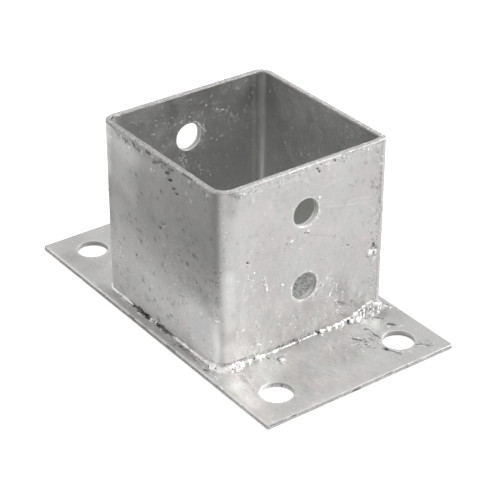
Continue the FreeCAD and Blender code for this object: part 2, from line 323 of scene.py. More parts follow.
def hole_cutter(centre, axis, radius, lip, thickness):
    """A round cutter through a sheet, from outside the face at centre; its flares leave rounded lips. Each station is
    a depth under that face and the cutter's radius there."""
    clear, proud, steps = 1.5 * MM, 0.005 * MM, 4
    depths = [lip * k / steps for k in range(steps + 1)]
    flare = [radius + lip - math.sqrt(max(lip**2 - (lip - depth) ** 2, 0)) for depth in depths]
    depths[0] = -proud
    stations = [(-clear, radius + lip)]
    stations += list(zip(depths, flare))
    stations += [(thickness - depth, wide) for depth, wide in zip(reversed(depths), reversed(flare))]
    stations += [(thickness + clear, radius + lip)]
    bpy.ops.mesh.primitive_circle_add(
        vertices=72,
        radius=stations[0][1],
        fill_type="NGON",
        location=centre - axis * stations[0][0],
        rotation=axis.to_track_quat("Z", "Y").to_euler(),
    )
    cutter = start_piece("hole_cutter")
    begin_edit(cutter)
    bpy.ops.mesh.select_all(action="SELECT")
    for (depth, wide), (next_depth, next_wide) in zip(stations, stations[1:]):
        bpy.ops.mesh.extrude_region_move(
            TRANSFORM_OT_translate={"value": -axis * (next_depth - depth), "orient_type": "GLOBAL"}
        )
        bpy.ops.transform.resize(value=(next_wide / wide,) * 3)
    end_edit()
    close_up(cutter)
    return cutter


def vertex_places(obj):
    """The places of an object's vertices, one row for each."""
    places = np.zeros(len(obj.data.vertices) * 3)
    obj.data.vertices.foreach_get("co", places)
    return places.reshape(-1, 3)


def weigh(obj, name, weights):
    """Keeps one weight for each vertex in a vertex group, apart from those too small to count."""
    least = 0.004
    group = obj.vertex_groups.new(name=name)
    for index in np.flatnonzero(weights > least):
        group.add([int(index)], min(float(weights[index]), 1.0), "REPLACE")
    return name


def mark_field(places, marks, add=False):
    """How strongly each place is marked. A mark has soft sides; where marks overlap the strongest one counts or, with
    add, their sum."""
    field = np.zeros(len(places))
    for start, end, radius, strength in marks:
        a, b = np.array(start) * MM, np.array(end) * MM
        reach = radius * MM
        low, high = np.minimum(a, b) - reach, np.maximum(a, b) + reach
        near = np.flatnonzero(np.all((places > low) & (places < high), axis=1))
        if not len(near):
            continue
        run = b - a
        length = max(float(run @ run), 1e-12)
        share = np.clip((places[near] - a) @ run / length, 0, 1)
        gap = np.linalg.norm(places[near] - a - share[:, None] * run, axis=1) / reach
        value = strength * np.clip(1 - gap**2, 0, 1) ** 1.5
        field[near] = field[near] + value if add else np.maximum(field[near], value)
    return field


def ramp(values, low, high):
    """0 below low, 1 above high, smooth between."""
    share = np.clip((values - low) / (high - low), 0, 1)
    return share * share * (3 - 2 * share)


def ramp_mm(values, low, high):
    """The same for values in metres, with low and high in mm."""
    return ramp(values, low * MM, high * MM)


def corners_of(look):
    """The sleeve's four upright corners: side in x, side in y, outer radius and the middle of the rounding."""
    radii = ((1, -1, look.front_bend), (1, 1, look.seam_radius), (-1, -1, look.rear_bend), (-1, 1, look.rear_bend))
    corners = []
    for side_x, side_y, radius in radii:
        edge_x = SLEEVE_HIGH.x if side_x > 0 else SLEEVE_LOW.x
        edge_y = SLEEVE_HIGH.y if side_y > 0 else SLEEVE_LOW.y
        corners.append((side_x, side_y, radius, edge_x - side_x * radius, edge_y - side_y * radius))
    return corners


def depth_inside(places, look):
    """How far each place lies inside the sleeve's outer faces, seen from above."""
    x, y = places[:, 0], places[:, 1]
    depth = np.minimum.reduce([SLEEVE_HIGH.x - x, x - SLEEVE_LOW.x, SLEEVE_HIGH.y - y, y - SLEEVE_LOW.y])
    for side_x, side_y, radius, middle_x, middle_y in corners_of(look):
        past_x, past_y = (x - middle_x) * side_x, (y - middle_y) * side_y
        depth = np.where((past_x > 0) & (past_y > 0), radius - np.hypot(past_x, past_y), depth)
    return depth


def hollows(obj, depth, rounds):
    """How far each vertex lies in a hollow: 0 on flats and humps, 1 where its surroundings rise by depth."""
    pairs = np.zeros(len(obj.data.edges) * 2, dtype=np.int64)
    obj.data.edges.foreach_get("vertices", pairs)
    first, second = pairs.reshape(-1, 2).T
    places = vertex_places(obj)
    count = np.maximum(np.bincount(pairs, minlength=len(places)), 1)[:, None]
    even = places.copy()
    for _ in range(rounds):
        total = np.zeros_like(even)
        np.add.at(total, first, even[second])
        np.add.at(total, second, even[first])
        even = total / count
    normals = np.array([vert.normal for vert in obj.data.vertices])
    return ramp(np.einsum("ij,ij->i", even - places, normals), 0, depth)


def relief(obj, name, weights, height, grain=None, middle_level=0.0):
    """Raises the weighted vertices along their normals, evenly or by a cloud pattern whose lumps are grain wide. The
    surface stays where the pattern is at the middle level."""
    settings = {"vertex_group": weigh(obj, name, weights), "strength": height, "mid_level": middle_level}
    if grain:
        clouds = bpy.data.textures.new(name, "CLOUDS")
        clouds.noise_scale = grain
        clouds.noise_depth = 2
        clouds.noise_basis = "ORIGINAL_PERLIN"
        settings.update(texture=clouds, texture_coords="LOCAL")
    apply_modifier(obj, "DISPLACE", direction="NORMAL", **settings)
    obj.vertex_groups.remove(obj.vertex_groups[name])
    if grain:
        bpy.data.textures.remove(clouds)


def keep_values(obj, **fields):
    """Stores values from 0 to 1 at each vertex, for the material to read."""
    for name, values in fields.items():
        layer = obj.data.attributes.new(name, "FLOAT", "POINT")
        layer.data.foreach_set("value", np.clip(values, 0, 1).astype(np.float32))


def refine(obj, marks):
    """Divides the four-sided faces under and next to the given marks, so that small ones keep their form."""
    wider, margin = 1.15, 0.5
    begin_edit(obj)
    mesh = bmesh.from_edit_mesh(obj.data)
    mesh.faces.ensure_lookup_table()
    centres = np.array([face.calc_center_median() for face in mesh.faces])
    wanted = mark_field(centres, [(a, b, radius * wider + margin, 1) for a, b, radius, _ in marks]) > 0
    sizes = np.array([len(face.verts) for face in mesh.faces])
    chosen = set(np.flatnonzero(wanted & (sizes == 4)).tolist())
    pick("FACE", lambda face: face.index in chosen)
    bpy.ops.mesh.subdivide(number_cuts=1, quadcorner="INNERVERT")
    end_edit()


def finish_piece(obj, nodes, material):
    """Shades, dresses and seats a finished piece."""
    only(obj)
    bpy.ops.object.shade_smooth()
    obj.data.materials.clear()
    obj.data.materials.append(material)
    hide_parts(*nodes)
    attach(obj, "root")


# Marks of the zinc and of painted light and shade, in mm. A mark is (start, end, radius, strength), and its strength
# is 1 where it is full


def front_wall(y, z):
    """A place on the +X wall, and round its wide bend towards -Y."""
    past = max(SLEEVE_LOW.y / MM + FRONT_BEND - y, 0)
    return (SLEEVE_HIGH.x / MM - FRONT_BEND + math.sqrt(FRONT_BEND**2 - past**2), y, z)


def left_wall(x, z):
    """A place on the -Y wall, and round its wide bend towards +X."""
    past = max(x - SLEEVE_HIGH.x / MM + FRONT_BEND, 0)
    return (x, SLEEVE_LOW.y / MM + FRONT_BEND - math.sqrt(FRONT_BEND**2 - past**2), z)


def inner_rear(y, z):
    """A place on the inside of the -X wall."""
    return (SLEEVE_LOW.x / MM + WALL, y, z)


def inner_right(x, z):
    """A place on the inside of the +Y wall."""
    return (x, SLEEVE_HIGH.y / MM - WALL, z)


def plate_face(x, y):
    """A place on the plate's upper face."""
    return (x, y, PLATE_TOP / MM)


def plate_edge(x, z):
    """A place on the sheared edge at -Y."""
    return (x, PLATE_LOW.y / MM, z)


def plate_end(y, z):
    """A place on the sheared edge at +X."""
    return (PLATE_HIGH.x / MM, y, z)


def foot_corner(turn, z):
    """A place on the wide bend, by its direction in degrees from +X towards +Y."""
    side = math.radians(turn)
    middle_x, middle_y = SLEEVE_HIGH.x / MM - FRONT_BEND, SLEEVE_LOW.y / MM + FRONT_BEND
    return (middle_x + FRONT_BEND * math.cos(side), middle_y + FRONT_BEND * math.sin(side), z)


def marks_on(surface, *rows):
    """Marks on one surface: (u, v, radius, strength) is a dot and (u, v, u2, v2, radius, strength) is a stroke."""
    return [(surface(*row[:2]), surface(*row[-4:-2]), *row[-2:]) for row in rows]


def marks_at(*rows):
    """The same off the plain surfaces: (x, y, z, radius, strength) or (x, y, z, x2, y2, z2, radius, strength)."""
    return [(row[:3], row[-5:-2], *row[-2:]) for row in rows]


def wander(surface, *rows):
    """Thin marks that stray to either side: each stroke is broken into short runs of uneven width and strength."""
    run, stray = 0.8, 0.4
    draw = random.Random(3)
    marks = []
    for u, v, u2, v2, radius, strength in rows:
        count = max(round(math.hypot(u2 - u, v2 - v) / run), 1)
        spots = []
        for share in [k / count for k in range(count + 1)]:
            spot_u = u + (u2 - u) * share + draw.uniform(-stray, stray)
            spots.append((spot_u, v + (v2 - v) * share + draw.uniform(-stray, stray)))
        for start, end in zip(spots, spots[1:]):
            width, depth = radius * draw.uniform(0.6, 1.3), strength * draw.uniform(0.3, 1.2)
            marks.append((surface(*start), surface(*end), width, depth))
    return marks


SLEEVE_PITS = marks_on(
    left_wall, (8.6, 69.8, 0.7, 0.7), (9.6, 67.1, 11.2, 67.8, 1.1, 1.2), (9.1, 68.5, 0.7, 0.7),
    (12.5, 64.6, 0.7, 0.8), (13.7, 63.4, 15, 63.8, 0.9, 1), (-26.9, 65.8, 0.6, 0.8), (-22.5, 54.8, 0.5, 0.5),
    (-9.4, 54.9, -8.6, 53.4, 0.45, 0.6), (-8.2, 51.6, 0.5, 0.5), (3.3, 45.1, 3.1, 44.3, 0.9, 1.1),
    (5.4, 47, 7, 48.3, 0.5, 0.8), (14.6, 39.1, 15.1, 38.8, 0.7, 1.1), (18.8, 73.4, 0.9, 0.9),
    (22.1, 73.2, 24, 73.6, 0.7, 0.8), (20.5, 68.6, 0.5, 0.6), (7.3, 54.4, 0.5, 0.4), (34.5, 71.6, 0.6, 0.4),
    (-30, 39.4, 0.5, 0.5), (-17.4, 22.6, 0.6, 0.4), (-3.5, 72.3, 0.7, 0.7), (7.6, 72.3, 0.6, 0.7),
    (-24.1, 25.4, 0.4, 0.6), (-18, 22, 0.6, 0.4), (18.8, 36.8, 20.4, 37, 0.5, 0.5),
    (25.3, 33.2, 25.7, 32.7, 0.9, 1.1), (16.6, 27.5, 0.5, 0.6), (18.5, 24.3, 19.6, 23.8, 0.5, 0.5),
    (25.5, 24.7, 0.5, 0.4), (8.9, 15.1, 9.7, 14.7, 0.5, 0.5), (2.5, 8.5, 2.9, 7.3, 0.5, 0.6), (-16.7, 7, 0.7, 0.9),
    (30, 14.6, 0.7, 0.95), (31.9, 15.3, 33.4, 14.6, 0.4, 0.6), (33.9, 12.9, 0.4, 0.4), (34.2, 8, 34.3, 8.8, 0.6, 0.8),
    (31.4, 9.5, 0.4, 0.5), (-13.7, 4.6, 0.5, 0.4),
) + marks_on(
    front_wall, (-35, 68.5, 0.6, 0.5), (-21.7, 74.3, 0.7, 0.8), (-8.8, 68.9, 0.6, 0.6), (4.5, 71.6, 5, 71, 0.9, 1.1),
    (5.6, 70.1, 1, 1.2), (6, 72.6, 0.7, 0.9), (12.1, 72.6, 12.6, 72.1, 0.8, 1.1), (26.3, 74.3, 0.5, 0.6),
    (-34.9, 66.6, 0.6, 0.5), (-0.2, 47.2, 0.6, 46.9, 0.8, 1), (1.4, 46.6, 0.6, 0.8), (34.1, 62.5, 0.5, 0.7),
    (34.3, 60.2, 0.7, 0.8), (35.1, 44.4, 0.6, 0.8), (32.9, 35.6, 0.6, 0.9), (32.2, 31.5, 32.3, 30.6, 1.2, 1.2),
    (32.9, 29.3, 0.7, 1), (19.4, 35.6, 20, 35, 0.6, 0.8), (21.7, 33.7, 0.6, 0.8), (26.4, 40.5, 0.6, 0.5),
    (16.4, 42.3, 0.4, 0.5), (-1.2, 62, 0.5, 0.5), (-7.3, 66.1, 0.5, 0.35), (-25.8, 44, -25.3, 43.6, 0.7, 1.2),
    (8.3, 34.4, 0.4, 0.6), (-15, 22.1, 0.4, 0.5), (-29.6, 17.7, 0.6, 0.5), (-25.8, 6.8, 0.4, 0.7),
    (-4.2, 46.6, 0.6, 0.4), (28.3, 12.8, 0.4, 0.5), (22.6, 21, 0.4, 0.5), (18.3, 16.4, 0.4, 0.5),
    (15.5, 20.1, 0.4, 0.5), (28.6, 28.3, 28.9, 27, 0.45, 0.5), (28.9, 27, 30.2, 25.8, 0.45, 0.6),
    (30.2, 25.8, 33.2, 26.3, 0.45, 0.7), (31.9, 28, 31.7, 27, 0.45, 1), (33.4, 34.2, 0.6, 0.9),
    (35.2, 29.2, 0.5, 0.7),
)
SLEEVE_DROPS = marks_on(
    left_wall, (-13.3, 62.9, 0.7, 0.5), (23.4, 65, 24.5, 63.5, 0.7, 0.6), (-20.1, 66.3, 0.5, 0.5),
    (-21.5, 64, 0.5, 0.5), (-6.3, 41, 0.5, 0.5), (-3.4, 32.4, 0.5, 0.5), (-12.6, 24.6, 0.6, 0.5),
    (10.2, 38.3, 0.6, 0.5), (28.1, 20.3, 29.3, 21.7, 1, 0.8), (9.2, 10.9, 0.6, 0.5), (3.1, 21, 0.6, 0.5),
    (-4.2, 24.7, 0.5, 0.4), (33.9, 45.1, 0.6, 0.6),
) + marks_on(
    front_wall, (-36.3, 59.7, 0.6, 0.6), (-8, 73.6, -7.5, 72.9, 0.6, 0.7), (16.4, 72.7, 0.8, 0.8),
    (5.8, 59.4, 0.8, 0.9), (1.1, 47.6, 0.8, 0.8), (-33.9, 63.4, 0.6, 0.5), (-5, 69.4, 0.4, 0.5),
    (30.3, 28.1, 31, 28.1, 1.6, 1.2), (32.9, 28.3, 33, 27.5, 1, 1.2), (-10.3, 29.3, 0.7, 0.8), (4.5, 27.1, 0.7, 0.7),
    (-25.1, 42.5, 0.5, 0.7), (-18.4, 35.4, -17.3, 29.8, 0.8, 0.5), (-20.8, 15.8, 0.5, 0.5),
)
# Dark smudges of dross. The strokes along the foot, 2.5 to 4.6 mm up, are painted shade in the crevice where the wall
# meets the plate and the bead, and the stroke at the rim's inner corner at -X -Y is painted shade too
SLEEVE_SMUDGES_AND_SHADE = marks_on(
    left_wall, (8, 69.4, 10.2, 70.2, 0.9, 0.8), (12, 64.9, 13.6, 65.5, 0.7, 0.75), (4.4, 72.4, 5.8, 72.6, 0.8, 0.6),
    (10, 71.8, 12.6, 72.2, 0.8, 0.55), (-24.7, 72.8, -22.2, 72, 1.2, 0.5), (-18.5, 71.8, -17.3, 71, 1.4, 0.55),
    (-13, 72.8, -12.4, 71.6, 0.8, 0.8), (-12, 71.2, -8.3, 71, 0.9, 0.6), (-4.2, 72.7, -1.9, 72.5, 0.9, 0.75),
    (0, 70.1, 4, 71.9, 0.9, 0.6), (6.8, 72.2, 8.4, 72.4, 0.6, 0.7), (-29.7, 73.8, -25.5, 73.5, 1, 0.45),
    (18.4, 73.5, 24, 73.6, 0.7, 0.6), (-1.4, 47.6, 0.1, 46, 0.6, 0.35), (-24.9, 26.1, -24.1, 25.4, 0.5, 0.5),
    (5.8, 28.5, 6.6, 27.9, 1.2, 0.3), (8.7, 18.2, 9, 16.8, 1.2, 0.3), (15.5, 30.2, 17, 28.3, 1.6, 0.3),
    (20.3, 33.6, 21, 32.4, 1.3, 0.28), (23.2, 26.2, 24.7, 24.8, 1.3, 0.28), (1.8, 10.3, 2.2, 9.4, 0.9, 0.32),
    (19.1, 45.4, 22.2, 47.1, 1.2, 0.25), (12, 3, 33, 4, 0.7, 0.45),
) + marks_on(
    front_wall, (-32.3, 73.5, -29.6, 71.3, 1.8, 0.5), (19.4, 60.3, 21.5, 59.2, 0.6, 0.4),
    (15, 71.3, 16.7, 70.8, 0.6, 0.5), (-14.9, 65.5, -12.8, 64.3, 0.8, 0.25), (25.5, 65.5, 0.5, 0.4),
    (16.1, 12.3, 18.5, 10.5, 1.5, 0.5), (17.8, 5.8, 20.9, 4.1, 1.6, 0.38), (14.1, 17.1, 16.8, 17.2, 1.6, 0.25),
    (22.4, 10.2, 24.9, 7.6, 1.3, 0.45), (31.3, 13.7, 32.2, 14.2, 0.8, 0.4), (10.2, 21.8, 10.8, 19.4, 2.4, 0.2),
    (-30, 4.5, -26, 4.2, 0.6, 0.7), (-21.5, 4, 0.8, 0.8), (-4.6, 3.4, 0.9, 0.9), (5.8, 3.2, 0.8, 0.9),
    (9.4, 3.2, 0.6, 0.7), (-17, 3.3, 5, 2.8, 0.5, 0.5), (-26, 4.2, 22, 3.6, 0.45, 0.4),
) + wander(
    left_wall, (-18.6, 2.6, -13, 2.5, 0.6, 1.1), (-12.6, 2.6, -5, 2.5, 0.75, 1.3), (0.2, 2.6, 7.6, 2.5, 0.7, 1.2),
    (8.2, 2.5, 12, 2.4, 0.6, 1),
) + marks_on(
    foot_corner, (-88, 4.2, -70, 4.4, 0.6, 0.7), (-70, 4.4, -50, 4.2, 0.6, 0.6), (-50, 4.2, -28, 4.2, 0.6, 0.7),
    (-28, 4.2, -5, 4.6, 0.6, 0.7),
) + wander(
    front_wall, (-18, 3.2, -4.8, 2.9, 0.5, 0.9), (-2, 2.9, 8, 2.9, 0.5, 0.9),
) + marks_on(
    inner_rear, (1.6, 69.9, 0.6, 0.8), (15.5, 65.3, 0.7, 0.9), (28.2, 54.4, 0.6, 0.5),
) + marks_on(
    inner_right, (-22.2, 54.8, 1, 0.8), (-30.2, 53.3, 0.7, 0.6),
) + marks_at(
    (-32.6, -33.4, 73.7, -30.6, -35.2, 73.7, 0.8, 1), (-28, -36.2, 74, -4, -36.2, 74, 0.5, 0.5),
) + wander(
    lambda y, z: (39.8, y, z), (16, 73.5, 36, 73.6, 0.6, 0.42),
)
# Painted glints on drops and lumps, with pale specks on the inside of the -X wall and a white glint at the rim's -X
# -Y corner
SLEEVE_SHINE = marks_on(
    front_wall, (-4.8, 46.5, -7, 45.8, 0.5, 0.6), (-8.1, 46.4, -5.8, 45.1, 0.5, 0.5),
    (-19, 35.1, -17.6, 30.4, 0.6, 0.6), (6.3, 53, 5.6, 59, 0.5, 0.6), (5.2, 50.4, 6.3, 53, 0.5, 0.6),
    (3.4, 18.9, 6, 22, 0.5, 0.6),
) + marks_on(
    inner_rear, (-3, 70.2, 0.7, 0.5), (16.2, 63.6, 0.6, 0.6), (19.4, 59.9, 0.7, 0.6), (10, 61.9, 0.5, 0.5),
    (25.8, 54.8, 0.6, 0.7), (6.8, 58.6, 7.4, 56, 0.6, 0.8), (11.4, 52.2, 0.9, 0.6), (13, 50.3, 0.6, 0.8),
    (-1.9, 46.2, 0.8, 0.7), (1.9, 41.4, 0.7, 0.7), (5.4, 38.1, 0.7, 1), (0.4, 44.4, 0.8, 0.7), (17.7, 37.2, 0.6, 1),
) + marks_on(
    inner_right, (-27.7, 66.5, 0.7, 1), (-29.7, 56.1, 0.5, 0.6), (-13.8, 56.8, 0.8, 1), (-17.8, 49, 0.8, 1),
    (-8.3, 48.6, -7.2, 46.9, 0.6, 0.5),
) + marks_at(
    (38.9, 36, 73.4, 0.8, 0.7), (-33, -31.4, 73.8, -32.7, -30.2, 73.6, 1, 1.5),
) + wander(
    inner_rear, (3.8, 60.6, 5.8, 58.4, 0.6, 1.2), (6.2, 57.6, 6.4, 54.6, 0.6, 1.3), (6.2, 53.6, 5, 51.2, 0.6, 1.2),
)
SLEEVE_SAND = marks_on(
    left_wall, (-28, 72, 6, 71.8, 3.2, 0.8), (6, 72.2, 30, 72.4, 2, 0.6), (-25, 24, -20, 8, 5, 0.7),
    (-14, 22, -4, 10, 4, 0.45), (10, 34, 20, 18, 6, 0.6), (32.5, 46, 34, 28, 2.4, 0.7), (-30, 60, -30, 10, 1.8, 0.5),
    (8, 8, 26, 12, 6, 0.5), (-20, 34, 24, 30, 14, 0.12), (-20, 12, 20, 12, 10, 0.12), (20, 66, 33, 60, 6, 0.3),
) + marks_on(
    foot_corner, (-60, 44, -55, 22, 2.6, 1), (-45, 70, -40, 46, 1.8, 0.6),
) + marks_on(
    front_wall, (-31, 71.4, -4, 72, 2.2, 0.9), (-4, 72, 34, 72, 1.8, 0.8), (34, 70, 33, 30, 3, 0.75),
    (33, 30, 32, 8, 3.4, 0.7), (10, 24, 20, 8, 6, 0.6), (-12, 14, 10, 8, 4, 0.5), (-35, 66, -35, 46, 2.4, 0.6),
    (-26, 8, -14, 6, 3, 0.5), (18, 38, 26, 32, 4, 0.4), (-16, 46, -4, 40, 5, 0.3), (16, 8, 24, 8, 3, 0.8),
) + marks_on(
    inner_rear, (5, 58, 14, 52, 5, 0.4), (-4, 46, 8, 38, 5, 0.9), (14, 62, 24, 56, 4, 0.8), (10, 70, 14, 60, 3, 0.6),
    (26, 60, 28, 52, 3, 0.7), (4, 62, 7, 50, 1.8, 1), (31, 66, 31, 40, 3, 0.4),
)
# Painted light up the -Y wall: lighter near the foot as a painted reflection of the plate, darker higher up as
# painted shade. Height in mm and factor
LEFT_PAINTED_LIGHT = (
    (2, 1.2), (8, 1.3), (14, 1.34), (20, 1.3), (28, 1.05), (36, 0.84), (46, 0.69), (60, 0.65), (68, 0.66), (74, 0.6),
)
# Larger patches that are brighter or duller than their surroundings, and painted light: highlights down the front and
# back bends, painted reflection and shade on the -Y wall, painted shade inside. The strength is a signed share of the
# colour
SLEEVE_TONES_AND_LIGHT = marks_on(
    left_wall, (-33, 74, -33, 56, 6.5, 0.52), (-33, 48, -33, 34, 5, -0.14), (-27, 72, -18, 66, 12, 0.3),
    (-20, 71, -2, 70, 9, 0.12), (26, 18, 33, 8, 13, 0.3), (-31, 34, -31, 10, 6, -0.15), (-26, 56, -16, 52, 8, 0.14),
    (33, 14, 34, 4, 7, 0.08), (-24, 22, -22, 12, 9, -0.08), (24, 30, 30, 28, 6, -0.12), (-14, 32, 4, 14, 9, 0.05),
    (-10, 60, -4, 48, 8, -0.05), (0, 66, 24, 52, 10, -0.03), (-22, 72.5, 0, 71, 2.4, -0.1),
) + marks_on(
    front_wall, (-28, 60, -26, 8, 9, 0.06), (-30, 12, -26, 4, 6, 0.1), (2, 14, 16, 16, 8, -0.06),
    (-27.5, 30, -27.5, 18, 2.4, 0.12), (-33.4, 40, -33, 20, 4, 0.25), (-24, 68, -14, 60, 8, 0.05),
    (-24, 20, -4, 22, 8, 0.08), (-26, 14, -18, 12, 6, 0.1), (16, 22, 20, 12, 5, -0.12),
    (34.5, 74, 34.5, 4, 2.2, -0.1),
) + marks_on(
    foot_corner, (-58, 76, -56, 30, 3, -0.2), (-56, 30, -52, 2, 2.6, -0.16), (-46, 24, -42, 4, 2, -0.1),
    (-20, 54, -16, 12, 2.6, 0.12), (-20, 10, -12, 3, 3.4, 0.28), (-10, 72, -12, 66, 3, -0.1),
) + marks_on(
    front_wall, (7.7, 63.1, 15.6, 64.1, 0.6, 0.1), (9.1, 54.8, 27.2, 50.6, 0.5, 0.12),
    (9.1, 53.8, 24.2, 50.6, 0.4, -0.08), (27.2, 50.6, 31, 47, 0.5, 0.12), (31, 47, 32.4, 40.6, 0.5, 0.12),
    (15.3, 55.1, 22.6, 54.6, 0.4, -0.09), (20.6, 54.4, 30, 52.1, 0.4, 0.1), (2, 45.7, 12.4, 41.9, 0.45, -0.12),
    (-20, 71, -4, 70.2, 0.6, 0.12), (-12, 64, 2, 62.4, 0.5, -0.06), (-17.4, 35.1, -16.4, 30.4, 0.4, -0.12),
) + marks_on(
    inner_rear, (-4, 58, 18, 54, 10, 0.14), (0, 48, 22, 40, 11, 0.03), (31, 74, 31, 20, 1.2, 0.2),
    (-26, 72, 10, 68, 7, -0.1), (28, 76, 29, 64, 6, -0.1),
) + marks_on(
    inner_right, (-30, 76, -28, 64, 9, -0.16), (-16, 75, 34, 75, 6, -0.12), (-24, 60, 30, 60, 26, -0.1),
)
PLATE_PITS = marks_on(
    plate_face, (62.6, 20.2, 63.4, 20.8, 1.1, 1), (51.2, 32.9, 1.3, 1), (68.1, 22.6, 0.9, 0.7), (70, 34.7, 1.1, 0.7),
    (50.8, 5.3, 0.8, 0.6), (42.7, 0.7, 0.4, 0.8), (42.4, 21.9, 0.8, 0.9), (40.9, 7.9, 0.7, 1), (42.2, -17.9, 0.7, 1),
    (55.2, -20.6, 0.6, 0.7), (56.6, -19.4, 0.6, 0.7), (12.6, -39.4, 0.6, 0.8), (36.6, -41.4, 0.8, 0.8),
)
PLATE_DROPS = wander(
    plate_face, (41, 36, 40.6, 39.4, 0.8, 1.1), (40, 38.6, 42.4, 39.8, 0.7, 1.1), (42.4, 39.8, 43.2, 40.2, 0.5, 0.8),
) + marks_on(
    plate_face, (45.9, -14.4, 1.5, 1.3), (44, -15.6, 1, 0.35), (45.2, -31.4, 50.6, -32.4, 1.1, 0.28),
    (-23.2, -38.2, -22.4, -38.3, 0.8, 1), (-21, -38.3, 0.7, 0.9), (-19.4, -38.2, 0.6, 0.8), (-17, -38.7, 0.6, 0.9),
    (-14.3, -38.3, 0.6, 0.9), (-10.6, -39.2, -9.8, -39, 0.7, 1), (-8.4, -39, 0.6, 0.9),
    (-3.6, -38.3, -2.6, -38.4, 0.8, 1), (-0.6, -38.4, 0.7, 1), (3.8, -38.5, 0.6, 0.9), (7.9, -38.5, 0.6, 0.9),
    (11.4, -38.3, 0.6, 0.8), (14, -38.4, 0.7, 0.8), (16.8, -38.3, 17.8, -38.4, 0.9, 1), (20.4, -38.5, 0.7, 0.8),
    (24.4, -38.6, 0.6, 0.6), (28, -38.5, 0.6, 0.6), (46.4, -16.1, 47.9, -15.7, 0.6, 0.5), (42.3, -31.8, 0.8, 0.35),
    (42, -33.7, 0.7, 0.3), (53.5, -35.9, 0.7, 0.3), (54.8, -33.4, 0.7, 0.3), (47.6, -32.6, 49.8, -30.6, 0.8, 0.3),
)
# Dark smudges on the plate round its holes and on its edges; the strokes beside the -Y wall's foot and along the
# outer side of the front bead are painted shade
PLATE_SMUDGES_AND_SHADE = wander(
    plate_face, (38, 39.8, 42.2, 40.4, 0.5, 0.8), (42.4, 36.8, 42.2, 39, 0.5, 0.8),
) + marks_on(
    lambda x, y: (x, y, 0.8), (55.6, -26, 0.7, 1.2), (57.4, -23.2, 0.8, 1.2), (60.4, -22, 0.6, 1.1),
) + marks_on(
    plate_face, (62.4, 20.2, 63, 20.6, 1.3, 1.2), (51.4, 33, 1.5, 1), (68, 22.4, 0.9, 0.9), (70, 34.7, 1.1, 0.5),
    (66.4, 33.3, 1.2, 0.5), (44, 31, 46.4, 32.6, 0.8, 0.35), (69.8, 36, 1, 0.6), (69.8, 34.2, 0.9, 0.7),
    (50.8, 5.3, 0.9, 0.45), (55.2, -20.6, 0.7, 0.5), (56.6, -19.4, 0.7, 0.5), (43.6, -32.6, 46, -33.4, 0.6, 0.2),
    (47.2, -16, 44.6, -15.6, 0.5, 0.9), (44.6, -15.6, 44.1, -13.4, 0.55, 1), (44.1, -13.4, 45.6, -12.7, 0.5, 0.8),
    (46.7, -34, 47.1, -30.5, 0.5, 0.42), (47.1, -30.5, 51.3, -29.9, 0.5, 0.42), (46.7, -34, 50, -33.3, 0.5, 0.4),
    (46.3, -36.7, 0.7, 0.6), (36.1, -40.4, 0.8, 0.9), (51.7, 12.1, 0.6, 0.6), (44.1, 29.3, 1, 0.5),
    (41.5, 20.1, 0.9, 1), (41.2, -17.9, 0.8, 1), (14.6, -40, 15.2, -40.4, 0.7, 0.8), (12.6, -39.4, 0.7, 0.7),
    (17, -39.6, 22, -39.2, 0.8, 0.4), (40.6, 7.2, 0.8, 0.9), (41, -3.2, 0.6, 0.7), (-25, -38, -18, -38.2, 0.6, 0.4),
) + wander(
    plate_face, (51.8, 23, 56.8, 23.6, 0.6, 1.1), (47.6, 22.4, 49.8, 23.6, 0.7, 1.1), (50, 15, 53.2, 16.4, 0.6, 0.9),
    (52.4, 18.4, 55.6, 17.4, 0.6, 1), (54.4, 14.6, 57.6, 17.4, 0.5, 0.9), (57.4, 15, 59.8, 17.4, 0.5, 0.8),
    (53, 20.4, 56.2, 20.2, 0.5, 0.9), (51, 21.5, 54.3, 21.9, 0.5, 1.1), (56.1, 14.9, 57.3, 12.6, 0.5, 0.9),
    (51.4, 11.6, 52.2, 13.4, 0.5, 0.8), (64.2, 21.2, 67.4, 22.4, 0.5, 0.9), (50.4, 31.8, 52.6, 34, 0.9, 1.1),
    (67, 31.4, 68.4, 33.4, 0.6, 0.9), (69.2, 33.2, 71, 35.8, 0.7, 0.9), (68.4, 35.4, 70.2, 33.4, 0.6, 0.9),
    (66.6, 35.4, 68, 36.8, 0.6, 0.8), (43.6, 30.6, 46.8, 32.4, 0.6, 0.9), (45, 28.4, 47.4, 30.2, 0.5, 0.8),
) + wander(
    plate_face, (-18.2, -37.7, -14, -37.8, 0.6, 1), (-12.6, -37.8, -5, -37.8, 0.7, 1.2),
    (0.4, -37.8, 7.8, -37.8, 0.65, 1.1), (17, -37.9, 22, -38, 0.5, 0.9), (26, -38.1, 31, -38.4, 0.5, 0.9),
    (14, -38.6, 24, -39.4, 0.5, 0.8), (24, -39.4, 32, -40.4, 0.5, 0.8), (34.6, -40.4, 36.6, -40.5, 0.8, 1.1),
) + marks_on(
    plate_end, (-32.4, 1.8, -30.4, 1.6, 0.8, 0.7), (-41, 1.6, -36, 1.7, 0.8, 0.6), (-5, 0.6, -2.2, 0.8, 0.9, 0.9),
    (10, 1.7, 13, 1.7, 0.7, 0.5), (24, 1.6, 25, 1.5, 0.7, 0.5),
) + marks_on(
    plate_edge, (-11.6, 1.7, -8.6, 1.5, 0.8, 0.8), (-3.6, 1.6, 0.4, 1.5, 0.8, 0.7), (13, 1.6, 18, 1.7, 0.8, 0.7),
    (44, 1.7, 50, 1.7, 0.7, 0.6), (-60, 1.2, -40, 1.2, 0.6, 0.42), (-36, 1.2, 40, 1.2, 0.6, 0.42),
    (40, 1.2, 74, 1.2, 0.6, 0.42),
)
